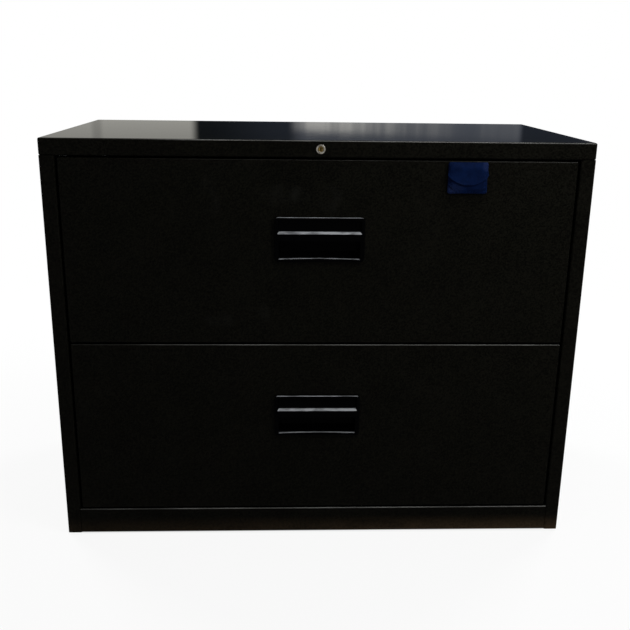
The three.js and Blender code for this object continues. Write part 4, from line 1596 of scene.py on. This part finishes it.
@dataclass
class KeyPouch:
    """A small padded cloth pouch held on the upper drawer by a magnet, with a flap over its front.

    Its own sizes run across from its middle and up from its middle.
    """

    centre_x: float = 243.6 * MM
    centre_z: float = 662.2 * MM
    half_width: float = 33.6 * MM
    half_height: float = 26 * MM
    back: float = -230.4 * MM
    back_curl: int = 8
    seam: float = -231.6 * MM
    seam_points: int = 160
    padding_rings: int = 22
    crown: float = 4.6 * MM
    squareness: float = 16.0
    fullness: float = 6.0
    pull_in: float = 0.8 * MM
    wrinkle: float = 0.35 * MM
    wrinkle_scale: float = 95.0
    voxel: float = 1.1 * MM
    held_voxels: int = 2
    model_scale: float = 10.0
    slack: float = -0.05
    pressure: float = 4.0
    cloth_mass: float = 0.3
    stretch_stiffness: float = 15.0
    shear_stiffness: float = 5.0
    bend_stiffness: float = 0.4
    quality: int = 6
    frames: int = 20
    most_swell: float = 2.2 * MM
    even_out: float = 1.2 * MM
    binding_radius: float = 0.9 * MM
    binding_sides: int = 10
    magnet_inset: float = 6 * MM
    magnet_front: float = -230.1 * MM
    magnet_back: float = -228.9 * MM
    magnet_corner: float = 2 * MM
    magnet_edge: float = 0.3 * MM
    flap_half_width: float = 31.4 * MM
    flap_root: float = 0.992
    flap_top: float = 685.6 * MM
    flap_straight: float = 18 * MM
    flap_round: float = 16 * MM
    flap_ease: float = 0.7
    flap_cloth: float = 0.9 * MM
    flap_air: float = 0.35 * MM
    flap_lift: float = 2.3 * MM
    flap_flare: int = 4
    flap_columns: int = 48
    flap_rows: int = 40
    flap_flat: Point2 = (62.8 * MM, 43 * MM)
    flap_cut: float = 0.88
    stitch_inset: float = 2.4 * MM
    stitch_start: float = 3 * MM
    stitch_length: float = 2 * MM
    stitch_pitch: float = 2.9 * MM
    stitch_radius: float = 0.24 * MM
    stitch_proud: float = 0.1 * MM
    stitch_dip: float = 0.15 * MM
    stitch_end: float = 0.04
    stitch_rings: int = 7
    stitch_sides: int = 8
    path_points: int = 400
    path_spacing: float = 0.2 * MM
    hinge_start: Point3 = (0.245, -0.2345, 0.6878)
    hinge_end: Point3 = (0.245, -0.2385, 0.6815)
    tree: BVHTree | None = field(default=None, init=False)

    def build(self) -> None:
        """Makes the magnet, the pouch and its flap."""
        self._magnet()
        self._padding()
        self._binding()
        self._flap()

    def _at(self, across: float, y: float, up: float) -> Vector:
        """A point of the frame from the pouch's own sizes."""
        return Vector((self.centre_x + across, y, self.centre_z + up))

    def _share(self, across: float, up: float) -> float:
        """How far a point lies from the middle, 0, to the seam, 1.

        Args:
            across: the point's place across.
            up: its place up.

        Returns:
            The share of the way.
        """
        u = abs(across / self.half_width) ** self.squareness
        v = abs(up / self.half_height) ** self.squareness
        return (u + v) ** (1 / self.squareness)

    def _filled(self, across: float, up: float) -> float:
        """The front before the filling swells it, crowned and a little creased.

        Args:
            across: a point's place across.
            up: its place up.

        Returns:
            Y of the front there.
        """
        share = min(self._share(across, up), 1.0)
        swell = math.sqrt(max(0.0, 1 - share**self.fullness))
        crease = noise.noise(self._at(across, 0, up) * self.wrinkle_scale)
        return self.seam - self.crown * swell - self.wrinkle * swell * crease

    def _outline(self) -> list[Point2]:
        """The seam: a rectangle with round corners whose sides pull in between them.

        Returns:
            The seam's points.
        """
        points = []
        for i in range(self.seam_points):
            angle = FULL_TURN * i / self.seam_points
            u = self.half_width * math.cos(angle)
            v = self.half_height * math.sin(angle)
            share = self._share(u, v)
            u, v = u / share, v / share
            narrow = self.pull_in * (1 - (v / self.half_height) ** 2)
            shallow = self.pull_in * (1 - (u / self.half_width) ** 2)
            points.append((u * (1 - narrow / self.half_width), v * (1 - shallow / self.half_height)))
        return points

    def _magnet(self) -> None:
        """The rubber magnet behind the pouch."""
        inset = self.magnet_inset
        outline = rounded_rectangle(self.half_width - inset, self.half_height - inset, self.magnet_corner)
        rings = [[self._at(u, y, v) for u, v in outline] for y in (self.magnet_back, self.magnet_front)]
        slab = Skin().loft(rings).done("key_pouch_magnet_slab")
        fine_edges(slab, self.magnet_edge)
        register(slab, "upper_drawer", Finish.RUBBER, "key_pouch_magnet")

    def _padding(self) -> None:
        """The padded pouch, flat behind and crowned in front."""
        outline = self._outline()
        steps = self.padding_rings
        shares = [math.sin(QUARTER * i / steps) for i in range(1, steps + 1)]
        rings = []
        for share in shares:
            y = self.back + (self.seam - self.back) * share**self.back_curl
            rings.append([self._at(share * u, y, share * v) for u, v in outline])
        for share in reversed(shares[:-1]):
            inner = [(share * u, share * v) for u, v in outline]
            rings.append([self._at(u, self._filled(u, v), v) for u, v in inner])
        pouch = Skin().loft(rings).done("key_pouch_padding")
        self._swell(pouch)
        corners = [vert.co for vert in pouch.data.vertices]
        self.tree = BVHTree.FromPolygons(corners, [list(face.vertices) for face in pouch.data.polygons])
        register(pouch, "upper_drawer", Finish.CLOTH, "key_pouch_body")

    def _swell(self, pouch: bpy.types.Object) -> None:
        """Swells the pouch: its front is cloth with a little slack, held at the seam and the back.

        Args:
            pouch: the pouch before its filling swells it.
        """
        centred = Matrix.Translation(-self._at(0, self.back, 0))
        larger = Matrix.Scale(self.model_scale, MATRIX_SIZE) @ centred
        pouch.data.transform(larger)
        modify(pouch, "REMESH", mode="VOXEL", voxel_size=self.voxel * self.model_scale)
        baked(pouch)
        before = [vert.co.copy() for vert in pouch.data.vertices]
        self._inflate(pouch)
        furthest = self.most_swell * self.model_scale
        for vert, start in zip(pouch.data.vertices, before):
            move = vert.co - start
            if move.length > furthest:
                vert.co = start + move * (furthest / move.length)
            vert.co.y = min(vert.co.y, 0.0)
        pouch.data.transform(larger.inverted())
        modify(pouch, "SUBSURF", levels=1, render_levels=1)
        baked(pouch)

    def _inflate(self, pouch: bpy.types.Object) -> None:
        """Runs the cloth and works its last frame into the mesh.

        Args:
            pouch: the pouch at its larger scale.
        """
        held = pouch.vertex_groups.new(name="held")
        seam = (self.seam - self.back) * self.model_scale
        edge = 1 - self.held_voxels * self.voxel / self.half_height
        for vert in pouch.data.vertices:
            share = self._share(vert.co.x / self.model_scale, vert.co.z / self.model_scale)
            if share > edge or vert.co.y > seam:
                held.add([vert.index], 1.0, "REPLACE")
        cloth = modify(pouch, "CLOTH")
        configure(
            cloth.settings,
            quality=self.quality,
            mass=self.cloth_mass,
            tension_stiffness=self.stretch_stiffness,
            compression_stiffness=self.stretch_stiffness,
            shear_stiffness=self.shear_stiffness,
            bending_stiffness=self.bend_stiffness,
            use_pressure=True,
            uniform_pressure_force=self.pressure,
            shrink_min=self.slack,
            vertex_group_mass=held.name,
        )
        cloth.settings.effector_weights.gravity = 0.0
        configure(cloth.point_cache, frame_start=1, frame_end=self.frames)
        for frame in range(1, self.frames + 1):
            bpy.context.scene.frame_set(frame)
        baked(pouch)
        bpy.context.scene.frame_set(1)
        pouch.vertex_groups.clear()

    def _front(self, across: float, up: float) -> float:
        """The swollen front, evened out as a cloth over it lies.

        Args:
            across: a point's place across.
            up: its place up.

        Returns:
            Y of the front there.
        """
        reach = self.even_out
        total = 0.0
        spots = ((0, 0), (reach, 0), (-reach, 0), (0, reach), (0, -reach))
        for u, v in spots:
            start = self._at(across + u, self.seam - self.half_width, up + v)
            hit = self.tree.ray_cast(start, Vector((0, 1, 0)))[0]
            total += min(hit.y, self.seam) if hit else self.seam
        return total / len(spots)

    def _binding(self) -> None:
        """The bound edge that covers the seam."""
        outline = self._outline()
        rings = []
        for before, here, after in zip([outline[-1], *outline[:-1]], outline, [*outline[1:], outline[0]]):
            along = Vector((after[0] - before[0], after[1] - before[1])).normalized()
            out = Vector((along.y, -along.x))
            ring = []
            for u, v in circle(self.binding_radius, self.binding_sides):
                at = Vector(here) + out * (u - self.binding_radius)
                ring.append(self._at(at.x, self.seam + v, at.y))
            rings.append(ring)
        edge = Skin().loft(rings, Ends.JOINED).done("key_pouch_binding")
        register(edge, "upper_drawer", Finish.CLOTH)

    def _over(self, across: float, up: float, height: float) -> Vector:
        """A point over the front of the pouch.

        Args:
            across: its place across.
            up: its place up.
            height: how far it lies from the front, square to the surface.

        Returns:
            The point.
        """
        step = self.even_out
        here = self._front(across, up)
        slope_u = (self._front(across + step, up) - self._front(across - step, up)) / (2 * step)
        slope_v = (self._front(across, up + step) - self._front(across, up - step)) / (2 * step)
        normal = Vector((slope_u, -1, slope_v)).normalized()
        return self._at(across, here, up) + normal * height

    def _flap_foot(self, across: float, inset: float = 0.0) -> float:
        """The flap's edge, or a line inside it.

        Args:
            across: a place across the flap.
            inset: how far inside the edge the line runs.

        Returns:
            How far up the line is there.
        """
        share = min(1.0, abs(across) / (self.flap_half_width - inset))
        length = self.flap_straight + (self.flap_round - inset) * (1 - share * share) ** self.flap_ease
        return self.flap_top - length - self.centre_z

    def _flap_head(self, across: float) -> float:
        """Level at which the flap leaves the seam at the top of the pouch."""
        share = abs(across / self.half_width) ** self.squareness
        return self.flap_root * self.half_height * (1 - share) ** (1 / self.squareness)

    def _stand_off(self, across: float, up: float) -> float:
        """How far the flap stands off the pouch at a point, most along its edge.

        Args:
            across: the point's place across.
            up: its place up.

        Returns:
            The distance.
        """
        head = self._flap_head(across)
        down = (head - up) / (head - self._flap_foot(across))
        return self.flap_air + self.flap_lift * down**self.flap_flare

    def _flap(self) -> None:
        """The flap, which comes off the top seam, lies down the front and ends in a shallow round."""
        rows: list[list[Vector]] = [[] for _ in range(self.flap_rows + 1)]
        for i in range(self.flap_columns + 1):
            across = self.flap_half_width * math.sin(QUARTER * (2 * i / self.flap_columns - 1))
            head = self._flap_head(across)
            foot = self._flap_foot(across)
            for j, row in enumerate(rows):
                up = head + (foot - head) * (1 - math.cos(QUARTER * j / self.flap_rows))
                row.append(self._over(across, up, self._stand_off(across, up)))
        cloth = Skin().grid(rows).done("key_pouch_flap_cloth")
        modify(cloth, "SOLIDIFY", thickness=self.flap_cloth, offset=1)
        baked(cloth)
        dressed(cloth, Finish.CLOTH, "key_pouch_flap")
        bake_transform(cloth)
        stitches = self._stitches()

    def _stitches(self) -> bpy.types.Object:
        """The row of stitches inside the flap's edge.

        Returns:
            The stitches.
        """
        half = self.flap_half_width - self.stitch_inset
        upper = self.flap_top - self.centre_z - self.stitch_start
        path: list[Point2] = [(-half, upper)]
        for i in range(self.path_points + 1):
            across = half * math.sin(QUARTER * (2 * i / self.path_points - 1))
            path.append((across, self._flap_foot(across, self.stitch_inset)))
        path.append((half, upper))
        closing = math.ceil(2 * half / self.path_spacing)
        path = closer_spaced(path, self.path_spacing)[:-closing]
        skin = Skin()
        travelled = 0.0
        for here, after in zip(path, path[1:]):
            travelled += math.dist(here, after)
            if travelled >= self.stitch_pitch:
                travelled = 0.0
                self._stitch(skin, here, after)
        thread = skin.done("key_pouch_flap_stitches")
        return register(thread, "key_pouch_flap", Finish.THREAD)

    def _stitch(self, skin: Skin, here: Point2, after: Point2) -> None:
        """Adds one stitch, thick in the middle and sunk at its ends.

        Args:
            skin: the mesh to add it to.
            here: the stitch's middle, across and up.
            after: the next point of the row.
        """
        along = Vector((after[0] - here[0], after[1] - here[1])).normalized()
        aside = Vector((-along.y, along.x))
        rings = []
        for i in range(self.stitch_rings):
            share = 2 * i / (self.stitch_rings - 1) - 1
            place = Vector(here) + along * share * self.stitch_length / 2
            radius = self.stitch_radius * math.sqrt(max(self.stitch_end, 1 - share * share))
            surface = self._stand_off(place.x, place.y) + self.flap_cloth
            height = surface - self.stitch_dip * share * share + self.stitch_proud
            middle = self._over(place.x, place.y, height)
            ring = [Vector((aside.x * u, v, aside.y * u)) for u, v in circle(radius, self.stitch_sides)]
            rings.append([middle + point for point in ring])
        skin.loft(rings)


@dataclass
class LevellingGlide:
    """One screw-in foot: a moulded pad under a collar and a threaded stem.

    The pad's edge is given by how far it lies inside the pad's radius at each level.
    """

    side: Side
    end: End
    x: float = 434.2 * MM
    pad_radius: float = 17 * MM
    pad_height: float = 5.5 * MM
    pad_edge: tuple[Point2, ...] = (
        (2.5 * MM, 0.0),
        (0.8 * MM, 0.3 * MM),
        (0.0, 1.4 * MM),
        (0.0, 3.2 * MM),
        (0.6 * MM, 4.4 * MM),
        (2.2 * MM, 5.2 * MM),
    )
    collar_radius: float = 8 * MM
    collar_height: float = 7.7 * MM
    collar_flare: float = 1.2 * MM
    collar_edge: float = 0.4 * MM
    collar_round: float = 0.5 * MM
    stem_radius: float = 4 * MM
    stem_top: float = 26.7 * MM
    thread_depth: float = 0.35 * MM
    thread_pitch: float = 1.25 * MM
    facets: int = 48

    def build(self) -> None:
        """Makes the glide."""
        collar = self.collar_radius
        profile = [
            *((self.pad_radius - inset, level) for inset, level in self.pad_edge),
            (collar + self.collar_flare, self.pad_height),
            (collar, self.pad_height + self.collar_edge),
            (collar, self.collar_height - self.collar_edge),
            (collar - self.collar_round, self.collar_height),
        ]
        level = self.collar_height
        while level + self.thread_pitch < self.stem_top:
            profile += [
                (self.stem_radius - self.thread_depth, level),
                (self.stem_radius, level + self.thread_pitch / 2),
            ]
            level += self.thread_pitch
        profile.append((self.stem_radius - 2 * self.thread_depth, self.stem_top))
        axis = Vector((self.side.value * self.x, self.end.value, 0))
        name = f"{self.side.word}_{self.end.word}_glide"
        foot = Skin().lathe(profile, axis, Plane.TOP, self.facets).done(f"{name}_turned")
        even_shading(foot)
        register(foot, name, Finish.NYLON, name)


@dataclass
class Fittings:
    """The frame's other pieces, which keep their own shape: trays, rails, slides, lock gear and base."""

    frame: dict[str, object]
    edge: float = 0.25 * MM
    weld: float = 0.01 * MM
    flat: float = math.radians(1)

    def dress(self, replaced: set[str]) -> None:
        """Gives each node that still shows its finish and fine rounded edges.

        Args:
            replaced: the nodes that other pieces stand for.
        """
        finishes = {finish.value.name: finish for finish in Finish}
        for part in self.frame["record"]["subparts"]:
            name = part["node"]
            if name in replaced:
                continue
            node = self.frame["nodes"][name]
            finish = finishes[part["material_slot"]]
            for slot in node.material_slots:
                slot.material = finish.material
            modify(node, "WELD", merge_threshold=self.weld)
            modify(node, "DECIMATE", decimate_type="DISSOLVE", angle_limit=self.flat)
            fine_edges(node, self.edge)
            LOG.info("%s keeps its shape in %s", name, finish.name.lower())


def hang(lamp: bpy.types.Light, place: Point3, aim: Vector) -> bpy.types.Object:
    """Puts a lamp into the scene.

    Args:
        lamp: the lamp.
        place: where it hangs.
        aim: the direction that it shines in.

    Returns:
        The lamp's object, which the camera doesn't see.
    """
    holder = bpy.data.objects.new(lamp.name, lamp)
    holder.matrix_world = Matrix.Translation(place) @ aim.to_track_quat("-Z", "Y").to_matrix().to_4x4()
    holder.visible_camera = False
    bpy.context.scene.collection.objects.link(holder)
    return holder


@dataclass(frozen=True)
class Softbox:
    """A rectangular lamp: its place, what it points at, its size and its power in watts.

    Gloss may be kept from showing it.
    """

    name: str
    place: Point3
    target: Point3
    size: Point2
    power: float
    in_gloss: bool = True

    def light(self) -> None:
        """Makes the lamp."""
        lamp = bpy.data.lights.new(self.name, "AREA")
        lamp.shape = "RECTANGLE"
        lamp.size, lamp.size_y = self.size
        lamp.energy = self.power
        box = hang(lamp, self.place, Vector(self.target) - Vector(self.place))
        box.visible_glossy = self.in_gloss


@dataclass(frozen=True)
class SoftSun:
    """A very wide soft sun for the general level."""

    name: str = "soft_sun"
    strength: float = 0.6
    width: float = math.radians(60)
    aim: Point3 = (0.2, 0.25, -1)

    def light(self) -> None:
        """Makes the sun."""
        lamp = bpy.data.lights.new(self.name, "SUN")
        lamp.energy = self.strength
        lamp.angle = self.width
        hang(lamp, (0, 0, 0), Vector(self.aim))


def rays(shader: Shader, kind: str) -> Value:
    """1 for rays of that kind, and 0 for others."""
    return Value(shader, shader.node("ShaderNodeLightPath").outputs[f"Is {kind} Ray"])


def seen(shader: Shader) -> Value:
    """1 for rays from the camera, off gloss and through glass."""
    return rays(shader, "Camera").or_more(rays(shader, "Glossy")).or_more(rays(shader, "Transmission"))


@dataclass
class GlossScreen:
    """An upright screen behind the cabinet that only its gloss shows, in bands from left to right.

    A pale band with a dark joint in it is followed by a dark one, then by a hazy one that is streaked
    with light below a slanting edge. A pair of numbers is where a change starts and ends.
    """

    name: str = "gloss_screen"
    y: float = 4.0
    half_width: float = 2.8
    height: float = 2.2
    pale: Colour = (0.64, 0.63, 0.58)
    pale_edge: Point2 = (-0.61, -0.68)
    joint_x: float = -1.28
    joint_half: Point2 = (0.05, 0.01)
    joint_depth: float = 0.25
    dark: Colour = (0.006, 0.009, 0.013)
    dusk: Colour = (0.024, 0.031, 0.046)
    darkness_fades: Point2 = (-0.6, 0.0)
    haze: Colour = (0.1, 0.115, 0.15)
    haze_starts: Point2 = (-0.04, 0.09)
    haze_ends: Point2 = (1.54, 1.5)
    lit: Colour = (0.74, 0.73, 0.7)
    streaks: Cloud = Cloud(9, 3, (0.3, 0.75), (1, 0, 0.03))
    least_streak: float = 0.4
    streak_swing: float = 0.95
    streaks_fade: Point2 = (1.15, 0.2)
    least_lit: float = 0.1
    edge_slant: float = 0.036
    edge_level: Point2 = (1.03, 1.003)
    white_from: float = 1.9

    def build(self) -> None:
        """Makes the screen."""
        half = self.half_width
        corners = ((-half, 0), (half, 0), (half, self.height), (-half, self.height))
        screen = Skin().face((x, self.y, z) for x, z in corners).done(self.name)
        shader = Shader.material(self.name)
        glow = shader.node("ShaderNodeEmission", feeds={"Color": self._bands(shader), "Strength": 1.0})
        shader.node("ShaderNodeOutputMaterial", feeds={"Surface": glow.outputs[0]})
        screen.data.materials.append(shader.owner)
        screen.visible_camera = False
        screen.visible_diffuse = False
        screen.visible_shadow = False

    def _bands(self, shader: Shader) -> bpy.types.NodeSocket:
        """The bands of light and dark across the screen.

        Args:
            shader: the screen's shader.

        Returns:
            The screen's colour.
        """
        x, _, z = shader.parts(shader.place())
        colour = shader.blend(x.step(*self.darkness_fades), self.dark, self.dusk)
        hazy = x.step(*self.haze_starts) * x.step(*self.haze_ends)
        colour = shader.blend(hazy, colour, self.haze)
        streaks = self.least_streak + self.streak_swing * shader.cloud(self.streaks)
        near = x.step(*self.streaks_fade).lifted(self.least_lit)
        below = (z - self.edge_slant * x).step(*self.edge_level)
        colour = shader.blend(hazy * near * streaks * below, colour, self.lit)
        joint = self.joint_depth * abs(x - self.joint_x).step(*self.joint_half)
        colour = shader.blend(x.step(*self.pale_edge) * (1 - joint), colour, self.pale)
        return shader.blend(abs(x).step(self.white_from, self.half_width), colour, WHITE)


@dataclass
class Studio:
    """A pale floor under soft light, with a white horizon that the metal shows too."""

    floor_radius: float = 30.0
    floor_sides: int = 96
    floor_colour: Colour = (0.5, 0.5, 0.5)
    floor_glow: float = 0.9
    floor_near: float = 0.9
    floor_far: float = 2.0
    under_half: Point2 = (455 * MM, 226 * MM)
    under_edge: float = 8 * MM
    sky: float = 0.12
    horizon: float = 0.09
    dusk: float = 0.4
    horizon_light: float = 0.12
    lamps: tuple[Softbox | SoftSun, ...] = (
        Softbox("overhead_strip", (0.6, -0.63, 2.2), (0.6, -0.63, 0.0), (1.3, 0.5), 16.0),
        Softbox("front_fill", (0.75, -0.9, 1.25), (0.25, -0.23, 0.5), (0.5, 0.5), 9.5),
        Softbox("left_rear_fill", (-2.4, 2.2, 1.9), (0.0, 0.0, 0.4), (1.4, 1.4), 150.0, in_gloss=False),
        Softbox("right_rear_fill", (2.4, 2.2, 1.9), (0.0, 0.0, 0.4), (1.4, 1.4), 150.0, in_gloss=False),
        SoftSun(),
    )

    def build(self) -> None:
        """Makes the floor, the world, the screen and the lights."""
        self._floor()
        self._world()
        GlossScreen().build()
        for lamp in self.lamps:
            lamp.light()
        bpy.context.scene.view_settings.view_transform = "Standard"

    def _floor(self) -> None:
        """A wide disc that shows white, keeps the cabinet's shadow and is left dark under it."""
        rim = circle(self.floor_radius, self.floor_sides)
        floor = Skin().face((x, y, 0) for x, y in rim).done("floor")
        shader = Shader.material("pale_floor")
        diffuse = shader.node("ShaderNodeBsdfDiffuse", feeds={"Color": self.floor_colour})
        glow = shader.node("ShaderNodeEmission", feeds={"Strength": 1.0})
        x, y, _ = shader.parts(shader.place())
        far = (x * x + y * y).step(self.floor_near**2, self.floor_far**2)
        under = 1.0
        for place, half in zip((x, y), self.under_half):
            under = under * abs(place).step(half, half - self.under_edge)
        white = seen(shader) * far.lifted(self.floor_glow) * (1 - under)
        feeds = {0: white, 1: diffuse.outputs[0], 2: glow.outputs[0]}
        mix = shader.node("ShaderNodeMixShader", feeds=feeds)
        shader.node("ShaderNodeOutputMaterial", feeds={"Surface": mix.outputs[0]})
        floor.data.materials.append(shader.owner)

    def _world(self) -> None:
        """White to the camera, and for the light white at the horizon and dim overhead."""
        world = bpy.data.worlds.new("studio_world")
        bpy.context.scene.world = world
        shader = Shader(world)
        height = shader.parts(shader.node("ShaderNodeTexCoord").outputs["Generated"])[2]
        band = height.step(self.dusk, self.horizon) * seen(shader).lifted(self.horizon_light)
        level = band.lifted(self.sky).or_more(rays(shader, "Camera"))
        sky = shader.node("ShaderNodeBackground", feeds={"Color": WHITE, "Strength": level})
        shader.node("ShaderNodeOutputWorld", feeds={"Surface": sky.outputs[0]})


@dataclass(frozen=True)
class PhotoCamera:
    """The camera at the photograph's place, as fitted to the cabinet's corners."""

    name: str = "photo_camera"
    place: Point3 = (-0.06085, -1.60415, 0.8382)
    pan: float = math.radians(-2.286)
    tilt: float = math.radians(-16.72)
    roll: float = math.radians(-0.777)
    lens: float = 47.548
    sensor: float = 36.0
    reach: float = 100.0

    def set_up(self) -> None:
        """Makes the camera and hands it to the scene."""
        data = bpy.data.cameras.new(self.name)
        configure(
            data, lens=self.lens, sensor_width=self.sensor, sensor_fit="HORIZONTAL", clip_end=self.reach
        )
        camera = bpy.data.objects.new(self.name, data)
        turn = (
            Matrix.Rotation(self.pan, MATRIX_SIZE, "Z")
            @ Matrix.Rotation(self.tilt, MATRIX_SIZE, "X")
            @ Matrix.Rotation(self.roll, MATRIX_SIZE, "Y")
            @ Matrix.Rotation(QUARTER, MATRIX_SIZE, "X")
        )
        camera.matrix_world = Matrix.Translation(self.place) @ turn
        bpy.context.scene.collection.objects.link(camera)
        bpy.context.scene.camera = camera


def main() -> None:
    """Dresses the frame, lights it and sets up the camera."""
    logging.basicConfig(format="%(name)s: %(message)s")
    LOG.setLevel(logging.INFO)
    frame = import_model()
    PhotoCamera().set_up()
    CaseShell().build()
    for level in Level:
        pull = DrawerPull(level)
        DrawerFace(level, pull.centre).build()
        pull.build()
    RailLock().build()
    KeyPouch().build()
    for side in Side:
        for end in End:
            LevellingGlide(side, end).build()
    Fittings(frame).dress({name for name, node in frame["nodes"].items() if node.hide_render})
    Studio().build()


if __name__ == "__main__":
    main()
